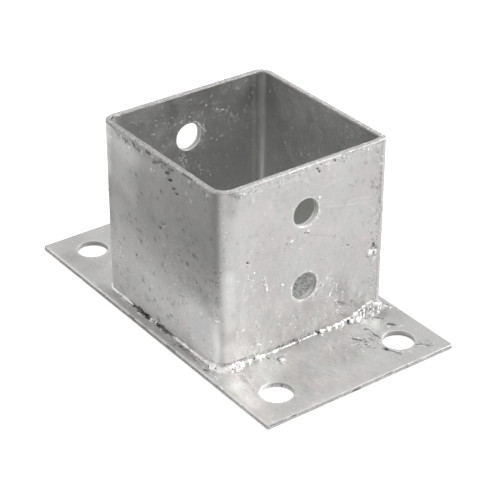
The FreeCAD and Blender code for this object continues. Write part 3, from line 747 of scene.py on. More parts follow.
PLATE_SAND = marks_on(
    plate_face, (50, 16, 57, 14, 4, 0.8), (52, 24, 60, 20, 3, 0.8), (66, 20, 70, 34, 4, 0.6),
    (50, 30, 54, 34, 3, 0.6), (42, -34, 52, -36, 5, 0.25), (60, -38, 72, -36, 5, 0.35),
    (-40, -41.2, 30, -41.2, 1.6, 0.5), (30, -41, 40, -39, 3, 0.6), (-60, -36, -48, -30, 5, 0.3),
    (43, -12, 46, -16, 2.6, 0.5), (44, 28, 46, 34, 2.6, 0.4),
)
# Patches of tone on the plate, and painted light: a painted highlight along the top of the -Y edge, painted shade on
# the strip in front of the -Y wall, lighter bands along the middle of the sheared edges
PLATE_TONES_AND_LIGHT = marks_on(
    plate_end, (-41, 0.7, 41, 0.7, 1.1, 0.4),
) + marks_on(
    plate_edge, (-74, 0.7, 74, 0.7, 1.2, 0.4),
) + marks_on(
    plate_face, (43, -36, 48, -38, 6, 0.35), (52, -38, 60, -39, 7, 0.25), (58, -39, 74, -41, 7, 0.15),
    (30, -41, 40, -38, 5, 0.15), (43, -18, 50, -26, 8, 0.26), (57, -10, 57, 20, 9, -0.12), (43, 22, 44, 32, 5, -0.2),
    (43, 29, 43.4, 35, 3.6, -0.24), (46, 40, 46, 40, 8, -0.12), (-60, -39, -40, -37, 8, -0.1),
    (-44, -36, -36, -38, 6, 0.1), (-62, -38, -72, -30, 8, -0.08), (-72, -42.3, 74, -42.3, 0.7, 0.5),
    (-34, -40.4, 32, -40.4, 4, -0.22), (43, -4, 44, 14, 6, -0.1), (-50, -22, -46, -26, 4, 0.4),
)
SEAM_PITS = marks_at(
    (39.6, 35.6, 45.6, 39.6, 35.6, 43.6, 0.8, 0.9), (39.4, 36, 62, 0.9, 0.7), (39.6, 35.4, 57.6, 0.7, 0.6),
    (39.5, 35.8, 51.4, 0.6, 0.6), (39.6, 35.4, 37.4, 0.6, 0.6), (39.5, 35.7, 33, 39.5, 35.7, 30.6, 0.7, 0.8),
    (39.4, 36, 24, 0.7, 0.5), (39.6, 35.4, 16.6, 0.8, 0.5),
)
# A painted highlight down the seam weld
SEAM_SHINE = marks_at(
    (39.2, 36.5, 60, 39.2, 36.5, 50, 0.8, 0.5),
)
# Foot beads: a place on the foot line, the reach over the plate and the rise, all in mm
FRONT_BEAD = (
    (10, -37.5, 0.3, 0.3), (11.8, -37.5, 0.4, 0.4), (12.8, -37.5, 0.9, 0.9), (14.2, -37.5, 0.4, 0.4),
    (16.2, -37.5, 0.5, 0.5), (17.4, -37.5, 1.2, 1.3), (19, -37.5, 0.6, 0.6), (24, -37.5, 0.7, 0.6),
    (29, -37.5, 0.8, 0.8), (33, -37.5, 0.9, 1), (34.4, -37.4, 1.7, 1.6), (35.4, -37.1, 2.6, 2.1),
    (36.2, -36.8, 2.2, 1.5), (37.2, -36.1, 2.9, 1.8), (38.4, -35, 2.9, 1.9), (39.3, -33.5, 2.2, 2),
    (40, -31, 1.4, 2.1), (40, -29, 1.3, 2.2), (40, -27.4, 0.7, 1.1), (40, -26.4, 0.5, 0.8), (40, -25.2, 1.1, 1.5),
    (40, -24, 0.6, 0.8), (40, -23, 0.6, 0.7), (40, -21.6, 1.8, 1.5), (40, -20.6, 1.6, 1.3), (40, -19.9, 0.8, 0.7),
    (40, -19.2, 1.2, 1.2), (40, -18.4, 0.5, 0.5), (40, -16.6, 0.5, 0.5), (40, -14, 0.9, 0.6), (40, -12, 0.5, 0.4),
    (40, -4.6, 0.45, 0.4), (40, -3.4, 0.3, 0.3), (40, -2, 0.3, 0.3), (40, 0, 0.4, 0.4), (40, 5.6, 0.4, 0.4),
    (40, 6.6, 0.25, 0.25), (40, 8, 0.9, 1.2), (40, 9.6, 0.35, 0.5), (40, 11.2, 1.2, 1.2), (40, 12.8, 0.5, 0.6),
    (40, 14.4, 1.1, 1.3), (40, 15.8, 0.7, 0.8), (40, 17.2, 1, 1.1), (40, 18.6, 0.7, 1.3), (40, 20.4, 0.8, 1.8),
    (40, 22.6, 1.6, 1.9), (40, 24.6, 1.4, 2.6), (40, 27, 0.9, 3.4), (40, 30, 0.7, 4.4), (40, 32.4, 0.7, 4.6),
    (39.9, 34.8, 0.8, 3.2), (39.2, 36.6, 1.2, 1.8), (37.6, 37.4, 2, 1), (34, 37.5, 2, 1.5), (26, 37.5, 1.6, 1.7),
    (12, 37.5, 1.4, 1.4), (10, 37.5, 0.4, 0.4),
)
# Single drops: a place, the outward direction, reach, rise and half length
FRONT_DROPS = (
    ((-4.2, -37.5), (0, -1), 0.6, 0.6, 0.6), ((-2.8, -37.5), (0, -1), 0.7, 0.7, 0.5),
    ((-1.2, -37.5), (0, -1), 0.6, 0.5, 0.5), ((40, -2.7), (1, 0), 1.3, 1.4, 0.35),
    ((40.9, 21.6), (1, 0.3), 1.1, 0.6, 1.2), ((41.8, 24.2), (1, 0.6), 0.9, 0.5, 1.4),
)
# Dark marks on the front bead: pits, and lines of painted shade along where the bead meets the walls
FRONT_BEAD_PITS_AND_SHADE = marks_at(
    (41.2, -17.9, 2.2, 0.8, 1), (40.4, 6.9, 2.6, 0.9, 1), (41, 20.5, 2.6, 0.9, 1), (40.6, 9.6, 2.8, 0.6, 0.9),
    (40.6, -27, 2.8, 0.6, 0.9), (40.5, -22.9, 2.8, 0.6, 0.8), (40.6, 13, 2.6, 0.5, 0.7), (40.4, -3.6, 2.6, 0.6, 1),
    (19.6, -37.9, 2.5, 33, -37.9, 2.6, 0.7, 0.42), (40.3, -12, 2.5, 40.3, -4.8, 2.5, 0.6, 0.4),
    (40.3, -1.8, 2.5, 40.3, 5.4, 2.5, 0.6, 0.4), (40.4, -17.6, 2.5, 40.4, -15, 2.5, 0.6, 0.4),
    (40.6, 24.4, 3.6, 40.5, 27.4, 4.8, 0.45, 0.7), (40.9, 25.8, 2.8, 40.8, 29.6, 3.4, 0.4, 0.6),
    (35, -39.2, 3, 0.7, 0.9), (37.6, -37.8, 3.2, 0.6, 0.9), (39.6, -36, 3, 0.6, 0.9), (41.2, -33.2, 2.8, 0.6, 0.8),
    (40.8, -31, 3.6, 0.5, 0.9), (40.9, 22.4, 3.4, 0.6, 0.9), (40.9, 29, 4.6, 0.6, 0.9), (40.8, 31.4, 3.6, 0.7, 0.9),
    (40.4, 34.2, 3.4, 0.7, 0.7),
)
REAR_BEAD = (
    (-16.8, -37.5, 0.3, 0.3), (-18.4, -37.5, 0.5, 0.7), (-21, -37.5, 0.7, 0.8), (-24, -37.5, 0.5, 0.7),
    (-29, -37.5, 0.6, 0.7), (-33.4, -35.9, 0.8, 0.8), (-35, -31, 1.4, 1.4), (-35, -20, 2, 2), (-35, -4, 1.7, 1.7),
    (-35, 8, 1.9, 1.8), (-35, 22, 1.8, 2), (-35, 31, 1.6, 1.7), (-33.4, 35.9, 2, 2.1), (-28, 37.5, 1.7, 1.6),
    (-16, 37.5, 1.3, 1.3), (-12, 37.5, 0.4, 0.4),
)


def scattered(seed, count, place, radius, strength):
    """Small marks at random places of a surface; place turns two shares into a point in mm."""
    draw = random.Random(seed)
    marks = []
    for _ in range(count):
        spot = place(draw.random(), draw.random())
        size = draw.uniform(*radius)
        marks.append((spot, spot, size, draw.uniform(*strength)))
    return marks


def wall_place(side, low=6.0, high=72.0):
    """A function that spreads two shares over one outer wall of the sleeve, clear of its corners."""
    x0, x1 = SLEEVE_LOW.x / MM, SLEEVE_HIGH.x / MM
    y0, y1 = SLEEVE_LOW.y / MM, SLEEVE_HIGH.y / MM
    clear, wide_clear = 4, 5

    def place(a, b):
        z = low + (high - low) * b
        return {
            "front": (x1, y0 + clear + (y1 - y0 - 2 * clear) * a, z),
            "rear": (x0, y0 + clear + (y1 - y0 - 2 * clear) * a, z),
            "left": (x0 + clear + (x1 - x0 - clear - wide_clear) * a, y0, z),
            "right": (x0 + clear + (x1 - x0 - 2 * clear) * a, y1, z),
        }[side]

    return place


def sleeve_scatter():
    """Pits and drops that repeat all over the sleeve, the same way on the sides that the photo hides."""
    pits, drops = [], []
    for number, side in enumerate(("front", "left", "rear", "right")):
        pits += scattered(30 + number, 22, wall_place(side), (0.35, 0.6), (0.2, 0.55))
        drops += scattered(40 + number, 34, wall_place(side), (0.5, 1.0), (0.2, 0.6))
        drops += scattered(50 + number, 26, wall_place(side, 66.0, 72.5), (0.7, 1.7), (0.3, 0.9))
        pits += scattered(60 + number, 12, wall_place(side, 67.0, 72.0), (0.5, 0.9), (0.4, 0.9))
    pits += scattered(70, 24, lambda a, b: (-18.5 + 8 * a, SLEEVE_LOW.y / MM, 12 + 16 * b), (0.35, 0.6), (0.2, 0.5))
    pits += scattered(71, 28, lambda a, b: (8 + 14 * a, SLEEVE_LOW.y / MM, 14 + 26 * b), (0.35, 0.65), (0.15, 0.5))
    pits += scattered(72, 40, lambda a, b: (SLEEVE_HIGH.x / MM, 12 + 12 * a, 9 + 12 * b), (0.35, 0.6), (0.2, 0.55))
    drops += scattered(74, 60, wall_place("left", 6.0, 46.0), (0.4, 0.9), (0.4, 0.9))
    return pits, drops


def sleeve_blotches():
    """Faint ragged patches: many on the lower part of the wall at -Y, fewer elsewhere."""
    blotches = scattered(80, 100, wall_place("left", 4.0, 44.0), (0.7, 1.6), (0.4, 0.72))
    blotches += scattered(81, 40, wall_place("left", 44.0, 72.0), (0.7, 1.3), (0.35, 0.65))
    for number, side in enumerate(("front", "rear", "right")):
        blotches += scattered(82 + number, 70, wall_place(side, 4.0), (0.6, 1.2), (0.26, 0.5))
    blotches += scattered(86, 40, lambda a, b: (SLEEVE_HIGH.x / MM, 29 + 7 * a, 6 + 64 * b), (0.5, 1.1), (0.4, 0.9))
    return blotches


# Materials


class Shader:
    """A material's nodes, added and linked one at a time."""

    def __init__(self, name):
        self.material = bpy.data.materials.new(name)
        self.material.use_nodes = True
        self.tree = self.material.node_tree
        self.surface = self.tree.nodes["Principled BSDF"]
        self.place = self.add("ShaderNodeTexCoord").outputs["Object"]

    def add(self, kind, inputs=None, **settings):
        """A new node; each input is a value or the socket that it comes from."""
        node = self.tree.nodes.new(kind)
        for key, value in settings.items():
            setattr(node, key, value)
        for key, value in (inputs or {}).items():
            if isinstance(value, bpy.types.NodeSocket):
                self.tree.links.new(value, node.inputs[key])
            else:
                node.inputs[key].default_value = value
        return node

    def link(self, source, socket):
        self.tree.links.new(source, socket)

    def noise(self, scale, detail=2.0, stretch=None, shift=None):
        """Cloud pattern with lumps about one over scale metres wide."""
        place = self.place
        if stretch or shift:
            inputs = {"Vector": place, "Scale": stretch or (1, 1, 1), "Location": shift or (0, 0, 0)}
            place = self.add("ShaderNodeMapping", inputs).outputs["Vector"]
        inputs = {"Vector": place, "Scale": scale, "Detail": detail, "Roughness": 0.55}
        return self.add("ShaderNodeTexNoise", inputs).outputs["Fac"]

    def spread(self, value, low, high, bottom=0.0, top=1.0):
        """Maps low..high of a value to bottom..top, without going past either."""
        inputs = {"Value": value, "From Min": low, "From Max": high, "To Min": bottom, "To Max": top}
        return self.add("ShaderNodeMapRange", inputs).outputs["Result"]

    def math(self, operation, a, b):
        return self.add("ShaderNodeMath", {0: a, 1: b}, operation=operation).outputs["Value"]

    def blend(self, share, a, b, mode="MIX"):
        """Mixes two colours by a share."""
        node = self.add("ShaderNodeMix", data_type="RGBA", blend_type=mode)
        for socket, value in zip((node.inputs[0], node.inputs[6], node.inputs[7]), (share, a, b)):
            if isinstance(value, bpy.types.NodeSocket):
                self.link(value, socket)
            else:
                socket.default_value = value
        return node.outputs[2]

    def attribute(self, name):
        return self.add("ShaderNodeAttribute", attribute_name=name).outputs["Fac"]

    def bump(self, height, distance, strength, below=None):
        inputs = {"Height": height, "Distance": distance, "Strength": strength}
        if below:
            inputs["Normal"] = below
        return self.add("ShaderNodeBump", inputs).outputs["Normal"]


def shade(colour, factor):
    """A colour made brighter or darker, with its alpha."""
    return tuple(min(part * factor, 1.0) for part in colour) + (1.0,)


def zinc_sheet(name, colour, roughness, grime, hole_axis=None, rings=(0.45, 1.5), gleam=1.5, sand=0.06):
    """Hot-dip zinc on sheet: cloudy and mottled, with ragged dark dross and painted shade in crevices, sandy patches,
    small lumps with painted highlights, and a cooler tint as painted shade.
    Rings run round the bores of its holes, between two shares of the colour. The painted highlights on the lumps are
    gleam times brighter."""
    s = Shader(name)
    clouds = s.noise(55.0, 3.0)
    patches = s.noise(170.0, 3.0)
    mottle = s.noise(520.0, 3.0)
    fine = s.noise(1050.0, 3.0)
    other = s.noise(950.0, 3.0, shift=(0.31, 0.17, 0.23))
    tone = s.blend(s.spread(clouds, 0.36, 0.64), shade(colour, 0.94), shade(colour, 1.04))
    tone = s.blend(s.spread(patches, 0.5, 0.66, 0, 0.6), tone, shade(colour, 0.92))
    tone = s.blend(s.spread(mottle, 0.32, 0.68, 0, 0.5), tone, shade(colour, 1.06))
    tint = s.spread(s.noise(85.0, 2.0, shift=(0.7, 0.4, 0.1)), 0.42, 0.6)
    tone = s.blend(tint, tone, s.blend(1.0, tone, (0.97, 1.0, 0.99, 1.0), "MULTIPLY"))
    factor = s.spread(s.attribute("tone"), 0.0, 1.0, 0.0, 2.0)
    tone = s.blend(1.0, tone, factor, "MULTIPLY")
    # Painted shade: a cooler tint where the attribute is set
    cool = s.attribute("cool")
    tone = s.blend(cool, tone, s.blend(1.0, tone, (0.98, 1.0, 0.996, 1.0), "MULTIPLY"))
    if hole_axis:
        bore = s.attribute("bore")
        waves = s.noise(850.0, 1.0, stretch=tuple(1.0 if along_axis else 0.06 for along_axis in hole_axis))
        ringed = s.blend(s.spread(waves, 0.4, 0.56), shade(colour, rings[0]), shade(colour, rings[1]))
        tone = s.blend(bore, tone, ringed)
        s.link(s.spread(bore, 0.0, 1.0, 1.0, 0.15), s.surface.inputs["Metallic"])
    else:
        s.surface.inputs["Metallic"].default_value = 1.0
    rough = s.math("ADD", s.attribute("sand"), sand)
    dark = s.spread(s.math("SUBTRACT", fine, s.math("MULTIPLY", rough, 0.11)), 0.28, 0.32, 1, 0)
    # Painted highlights: small light specks, like the lit sides of grains
    light = s.spread(s.math("ADD", other, s.math("MULTIPLY", rough, 0.11)), 0.68, 0.72)
    # The grime attribute holds dross and painted shade; where it is strong the colour goes to the dark grime colour
    marks = s.attribute("grime")
    ragged = s.spread(s.math("MULTIPLY", marks, s.spread(fine, 0.36, 0.64, 0.1, 1.9)), 0.36, 0.6)
    dirt_and_shade_marks = s.math("MULTIPLY", ragged, s.spread(marks, 0.4, 1.0, 0.24, 1.0))
    dirt_and_shade = s.math("MAXIMUM", dirt_and_shade_marks, s.math("MULTIPLY", dark, 0.4))
    # The shine attribute and the light specks are painted highlights, gleam times brighter than the colour
    shiny = s.spread(s.math("MULTIPLY", s.attribute("shine"), s.spread(other, 0.36, 0.64, 0.2, 1.8)), 0.35, 0.6)
    bright = s.math("MAXIMUM", shiny, s.math("MULTIPLY", light, 0.75))
    tone = s.blend(bright, tone, s.blend(1.0, tone, (gleam, gleam, gleam, 1.0), "MULTIPLY"))
    tone = s.blend(dirt_and_shade, tone, s.blend(0.05, (*grime, 1.0), tone))
    s.link(tone, s.surface.inputs["Base Color"])
    dull = s.spread(patches, 0.4, 0.7, roughness - 0.05, roughness + 0.08)
    s.link(s.math("ADD", dull, s.math("MULTIPLY", dirt_and_shade, 0.2)), s.surface.inputs["Roughness"])
    normal = s.bump(clouds, 0.0016, 0.22)
    normal = s.bump(patches, 0.0006, 0.35, normal)
    normal = s.bump(mottle, 0.00016, 0.35, normal)
    lumps = s.math("SUBTRACT", bright, dirt_and_shade)
    normal = s.bump(lumps, 0.0002, 0.8, normal)
    s.link(normal, s.surface.inputs["Normal"])
    return s.material


def zinc_bead(name, colour, roughness, grime):
    """Zinc on a weld bead: bright on its humps, specked, and dark with painted shade in its hollows."""
    s = Shader(name)
    lumps = s.noise(700.0, 3.0)
    fine = s.noise(1700.0, 2.0)
    tone = s.blend(s.spread(lumps, 0.35, 0.65), shade(colour, 0.9), shade(colour, 1.08))
    specks = s.spread(fine, 0.34, 0.38, 1, 0)
    marks = s.math("ADD", s.attribute("grime"), s.math("MULTIPLY", s.math("SUBTRACT", fine, 0.5), 0.9))
    dirt_and_shade = s.math("MAXIMUM", s.spread(marks, 0.38, 0.54), s.math("MULTIPLY", specks, 0.8))
    tone = s.blend(dirt_and_shade, tone, (*grime, 1.0))
    s.link(tone, s.surface.inputs["Base Color"])
    s.surface.inputs["Metallic"].default_value = 1.0
    s.link(s.spread(lumps, 0.35, 0.65, roughness + 0.1, roughness - 0.04), s.surface.inputs["Roughness"])
    normal = s.bump(lumps, 0.0003, 0.5)
    normal = s.bump(fine, 0.00006, 0.4, normal)
    s.link(normal, s.surface.inputs["Normal"])
    return s.material


# Pieces


def cut_plate(look):
    """The flat sheet, from a cube: grid, rounded corners and edges, and four lipped holes."""
    size = PLATE_HIGH - PLATE_LOW
    bpy.ops.mesh.primitive_cube_add(size=1, location=(PLATE_HIGH + PLATE_LOW) / 2)
    bpy.context.object.scale = size
    plate = start_piece("plate_sheet")
    margin = look.corner_radius + 0.4 * MM
    inner = Vector((PLATE_HIGH.x - margin, PLATE_HIGH.y - margin, 0))
    begin_edit(plate)
    for axis, reach in ((X, inner.x), (Y, inner.y)):
        for side in (-1, 1):
            bpy.ops.mesh.select_all(action="SELECT")
            bpy.ops.mesh.bisect(plane_co=axis * reach * side, plane_no=axis)
    for axis, reach in ((X, inner.x), (Y, inner.y)):
        divide(lambda edge: along(edge, axis) and abs(middle(edge).dot(axis)) < reach, int(2 * reach / look.cell))
    at_end, at_side = PLATE_HIGH.x - TINY, PLATE_HIGH.y - TINY

    def at_corner(edge):
        return along(edge, Z) and abs(middle(edge).x) > at_end and abs(middle(edge).y) > at_side

    round_off("EDGE", at_corner, look.corner_radius, segments=4)
    round_off(
        "EDGE",
        lambda edge: lies_flat(edge.link_faces[0]) != lies_flat(edge.link_faces[1]),
        look.edge_radius,
        segments=4,
    )
    end_edit()
    close_up(plate)
    pitch = Vector((ANCHORS["spacing_x_mm"], ANCHORS["spacing_y_mm"], 0)) * MM / 2
    for side_x in (-1, 1):
        for side_y in (-1, 1):
            centre = Vector((pitch.x * side_x, pitch.y * side_y, PLATE_TOP))
            cut_away(plate, hole_cutter(centre, Z, ANCHOR_RADIUS, look.lip_radius, size.z))
    return plate


def anywhere_on_plate(a, b):
    """Spreads two shares over the plate's upper face, clear of its edges."""
    reach_x, reach_y = 74, 41
    return plate_face(-reach_x + 2 * reach_x * a, -reach_y + 2 * reach_y * b)


def coat_plate(plate, look, sleeve):
    """The zinc's relief on the sheet, and the values that its material reads, painted light and shade among them."""
    pits = PLATE_PITS + scattered(11, 70, anywhere_on_plate, (0.35, 0.6), (0.2, 0.6))
    drops = PLATE_DROPS + scattered(12, 110, anywhere_on_plate, (0.4, 0.9), (0.1, 0.35))
    refine(plate, PLATE_PITS + PLATE_DROPS + PLATE_SMUDGES_AND_SHADE)
    places = vertex_places(plate)
    top = ramp_mm(places[:, 2], 1.5, 1.9)
    rim = np.maximum(np.abs(places[:, 0]) - PLATE_HIGH.x, np.abs(places[:, 1]) - PLATE_HIGH.y)
    inside = 1 - ramp_mm(rim, -2.2, -0.6)
    relief(plate, "plate_swell", top * inside, look.swell, grain=7 * MM, middle_level=0.5)
    relief(plate, "plate_lumps", top * inside, look.swell * 0.4, grain=2.4 * MM, middle_level=0.5)
    relief(plate, "plate_edge", ramp_mm(rim, -1.2, -0.3), -look.edge_wear, grain=2.6 * MM)
    places = vertex_places(plate)
    relief(plate, "plate_pits", mark_field(places, pits), -PIT_DEPTH)
    relief(plate, "plate_drops", mark_field(places, drops), DROP_HEIGHT)
    gap_x = np.abs(places[:, 0]) - ANCHORS["spacing_x_mm"] * MM / 2
    gap_y = np.abs(places[:, 1]) - ANCHORS["spacing_y_mm"] * MM / 2
    from_hole = np.hypot(gap_x, gap_y) - ANCHOR_RADIUS
    lip = ramp_mm(from_hole, 0.1, 0.3) * (1 - ramp_mm(from_hole, 0.5, 1.0))
    under_sleeve = ramp_mm(depth_inside(places, sleeve), 1, 4) * top
    speckled = under_sleeve * (0.4 + 0.6 * ramp_mm(places[:, 1], -8, 20))
    edge = ramp_mm(rim, -0.35, -0.1)
    smudges_and_shade = mark_field(places, PLATE_SMUDGES_AND_SHADE)
    # The plate inside the sleeve is lightened as painted light where the sleeve shades it; the tone marks add painted
    # highlights and shade
    tone = 1 + mark_field(places, PLATE_TONES_AND_LIGHT, add=True) + 0.22 * lip + 0.4 * under_sleeve
    tone -= 0.12 * edge + 0.35 * smudges_and_shade
    grime = [smudges_and_shade, 0.9 * mark_field(places, pits), 0.34 * speckled]
    keep_values(
        plate,
        tone=0.5 * tone,
        sand=mark_field(places, PLATE_SAND) + speckled + 0.6 * edge,
        grime=np.maximum.reduce(grime),
        # painted glints on the drops and on the speckled plate inside the sleeve
        shine=np.maximum(mark_field(places, PLATE_DROPS), 0.5 * speckled),
        bore=1 - ramp_mm(from_hole, 0, 0.25),
        # a cooler tint painted on the plate inside the sleeve, as painted shade
        cool=0.5 * under_sleeve,
    )


def make_plate(look, sleeve, zinc):
    plate = cut_plate(look)
    coat_plate(plate, look, sleeve)
    finish_piece(plate, ["base_plate"], zinc)


def fold_sleeve(look):
    """The folded strip, from one plane: the wall's section is drawn along four runs and spun round three bends. Then
    the four lipped bolt holes are cut."""
    x0, x1, y0, y1 = SLEEVE_LOW.x, SLEEVE_HIGH.x, SLEEVE_LOW.y, SLEEVE_HIGH.y
    front, rear, seam = look.front_bend, look.rear_bend, look.seam_radius
    height = SLEEVE_HIGH.z - SLEEVE_LOW.z
    start = Vector((x1 - look.wall / 2, y1 - seam, (SLEEVE_LOW.z + SLEEVE_HIGH.z) / 2))
    bpy.ops.mesh.primitive_plane_add(size=1, location=start, rotation=(math.pi / 2, 0, 0))
    bpy.context.object.scale = (look.wall, height, 1)
    sleeve = start_piece("folded_sleeve")
    begin_edit(sleeve)
    for top, radius in ((True, look.rim_radius), (False, look.foot_radius)):
        round_off("VERT", lambda vert: (vert.co.z > start.z) == top, radius, segments=5)
    for outside, cell in ((True, look.cell), (False, look.cell * 2)):
        divide(
            lambda edge: edge.calc_length() > height / 2 and (middle(edge).x > start.x) == outside,
            int(height / cell),
        )
    bpy.ops.mesh.select_all(action="SELECT")
    runs = (
        (-Y, y1 - y0 - seam - front, Vector((x1 - front, y0 + front, 0)), front),
        (-X, x1 - x0 - front - rear, Vector((x0 + rear, y0 + rear, 0)), rear),
        (Y, y1 - y0 - 2 * rear, Vector((x0 + rear, y1 - rear, 0)), rear),
        (X, x1 - x0 - seam - rear, None, None),
    )
    for direction, length, centre, radius in runs:
        bpy.ops.mesh.extrude_region_move(TRANSFORM_OT_translate={"value": direction * length})
        if centre:
            steps = round(math.pi / 2 * radius / look.cell) + 1
            bpy.ops.mesh.spin(steps=steps, angle=math.pi / 2, center=centre, axis=Z)
    long = 30 * MM
    divide(lambda edge: edge.calc_length() > long and not along(edge, Z), int((y1 - y0 - 2 * rear) / look.cell))
    end_edit()
    close_up(sleeve)
    for level in BOLT_LEVELS:
        for place, axis in ((x1, X), (x0, -X)):
            cut_away(sleeve, hole_cutter(X * place + Z * level, axis, BOLT_RADIUS, look.lip_radius, look.wall))
    return sleeve


def coat_sleeve(sleeve, look):
    """The zinc's relief on the sleeve, and the values that its material reads, painted light and shade among them."""
    x1, y1, seam = SLEEVE_HIGH.x, SLEEVE_HIGH.y, look.seam_radius
    scatter_pits, scatter_drops = sleeve_scatter()
    pits, drops = SLEEVE_PITS + scatter_pits, SLEEVE_DROPS + scatter_drops
    refine(sleeve, SLEEVE_PITS + SLEEVE_DROPS + SLEEVE_SMUDGES_AND_SHADE + SLEEVE_SHINE)
    places = vertex_places(sleeve)
    normals = np.array([vert.normal for vert in sleeve.data.vertices])
    side = 1 - ramp(np.abs(normals[:, 2]), 0.3, 0.9)
    seam_gap = np.maximum(np.abs(places[:, 0] - x1), np.abs(places[:, 1] - y1))
    from_seam = np.hypot(places[:, 0] - (x1 - seam), places[:, 1] - (y1 - seam))
    away = ramp(from_seam, seam + 0.2 * MM, seam + 2.5 * MM)
    away = np.where(seam_gap < 5 * MM, away, 1.0)
    high = ramp_mm(places[:, 2], 64, 72)
    relief(sleeve, "sleeve_swell", side * away, look.swell, grain=9 * MM, middle_level=0.5)
    relief(sleeve, "sleeve_lumps", side * away, look.swell * 0.5, grain=2.6 * MM, middle_level=0.5)
    relief(sleeve, "rim_lumps", side * away * high, look.rim_roughness, grain=2.8 * MM, middle_level=0.5)
    top = ramp_mm(places[:, 2], 73, 73.7)
    relief(sleeve, "rim_dents", top * away * (1 - side), -look.rim_roughness * 0.8, grain=3 * MM)
    places = vertex_places(sleeve)
    smudges_and_shade = mark_field(places, SLEEVE_SMUDGES_AND_SHADE + sleeve_blotches())
    relief(sleeve, "sleeve_pits", mark_field(places, pits), -PIT_DEPTH)
    relief(sleeve, "sleeve_drops", mark_field(places, drops) * side, DROP_HEIGHT)
    depth = depth_inside(places, look)
    outside = 1 - ramp_mm(depth, 0.3, 1.0)
    rim = ramp_mm(places[:, 2], 73.2, 73.7)
    # Painted shade: a dark line at the rim's inner edge, where it turns into the sleeve
    inner_lip_shade = rim * ramp(depth, look.wall - 0.7 * MM, look.wall - 0.2 * MM)
    from_level = np.minimum(*(np.abs(places[:, 2] - level) for level in BOLT_LEVELS))
    from_bolt = np.hypot(places[:, 1], from_level) - BOLT_RADIUS
    bore = 1 - ramp_mm(from_bolt, 0.0, 0.2)
    ring = (1 - ramp_mm(from_bolt, 0.6, 1.6)) * (1 - bore)
    lip = outside * (1 - ramp_mm(from_bolt, 0.4, 1.1)) * (1 - bore)
    # Painted light on the -Y wall's outer face: painted reflection of the plate near the foot, painted shade higher
    # up
    heights, factors = zip(*LEFT_PAINTED_LIGHT)
    upward = np.interp(places[:, 2] / MM, heights, factors)
    shaded_left_face = ramp(-normals[:, 1], 0.66, 0.86) * outside * (places[:, 1] < 0)
    left_rim = rim * ramp_mm(SLEEVE_LOW.y + 3.2 * MM - places[:, 1], 0, 1)
    # The tone marks add painted highlights along the bends, and painted shade on the -Y wall and inside
    tone = 1 + (1 - rim) * (shaded_left_face * (upward - 1) + mark_field(places, SLEEVE_TONES_AND_LIGHT, add=True))
    tone += 0.2 * lip - 0.22 * rim - 0.16 * left_rim - 0.3 * inner_lip_shade - 0.4 * smudges_and_shade * outside
    grime = [smudges_and_shade, 0.9 * mark_field(places, pits), 0.5 * inner_lip_shade]
    # Painted glints on the drops, stronger on the -Y wall
    shine = [mark_field(places, SLEEVE_SHINE), 0.9 * mark_field(places, SLEEVE_DROPS)]
    shine.append((0.5 + 0.4 * shaded_left_face) * mark_field(places, drops))
    skin = 0.15 * MM
    keep_values(
        sleeve,
        tone=0.5 * tone,
        sand=mark_field(places, SLEEVE_SAND) + 0.9 * rim + 0.8 * ring,
        grime=np.maximum.reduce(grime),
        bore=0.7 * bore * (depth > skin) * (depth < look.wall - skin),
        # a cooler tint painted on the sleeve's inside and on the -Y wall, as painted shade
        cool=np.maximum(1 - outside, 0.45 * shaded_left_face) * (1 - rim),
        shine=np.maximum.reduce(shine),
    )


def make_sleeve(look, zinc):
    sleeve = fold_sleeve(look)
    coat_sleeve(sleeve, look)
    finish_piece(sleeve, ["post_sleeve"], zinc)


def make_seam(look, zinc):
    """The weld that closes the corner at +X +Y: a quarter round drawn up the whole height of the sleeve."""
    radius = look.seam_radius
    low, top = Vector((SLEEVE_HIGH.x - radius, SLEEVE_HIGH.y - radius, SLEEVE_LOW.z)), SLEEVE_HIGH.z
    height = top - SLEEVE_LOW.z
    bpy.ops.mesh.primitive_plane_add(size=radius, location=low + Vector((radius, radius, 0)) / 2)
    seam = start_piece("seam_weld_bead")
    begin_edit(seam)
    half = radius / 2
    round_off("VERT", lambda vert: vert.co.x > low.x + half and vert.co.y > low.y + half, radius * 0.99, segments=10)
    bpy.ops.mesh.select_all(action="SELECT")
    bpy.ops.mesh.extrude_region_move(TRANSFORM_OT_translate={"value": Z * height})

    def on_outer_rim(edge):
        spot = middle(edge) - low
        return abs(middle(edge).z - top) < TINY and spot.xy.length > 0.72 * radius and min(spot.xy) > 0.02 * MM

    round_off("EDGE", on_outer_rim, look.rim_radius, segments=4)
    divide(lambda edge: along(edge, Z) and edge.calc_length() > height / 2, int(height / (look.cell * 0.7)))
    end_edit()
    close_up(seam)
    places = vertex_places(seam)
    from_x, from_y = places[:, 0] - low.x, places[:, 1] - low.y
    skin = ramp(np.hypot(from_x, from_y), 0.8 * radius, radius) * ramp_mm(np.minimum(from_x, from_y), 0, 0.8)
    skin *= 1 - ramp(places[:, 2], top - 1.2 * MM, top - 0.4 * MM)
    relief(seam, "seam_lumps", skin, 0.24 * MM, grain=2.4 * MM, middle_level=0.6)
    relief(seam, "seam_grain", skin, 0.12 * MM, grain=0.9 * MM, middle_level=0.5)
    places = vertex_places(seam)
    none = np.zeros(len(places))
    tone = 0.48 - 0.1 * ramp(places[:, 2], top - 1 * MM, top - 0.4 * MM)
    grime, shine = mark_field(places, SEAM_PITS), mark_field(places, SEAM_SHINE)
    keep_values(seam, tone=tone, cool=none, sand=none, grime=grime, shine=shine)
    finish_piece(seam, ["seam_weld"], zinc)


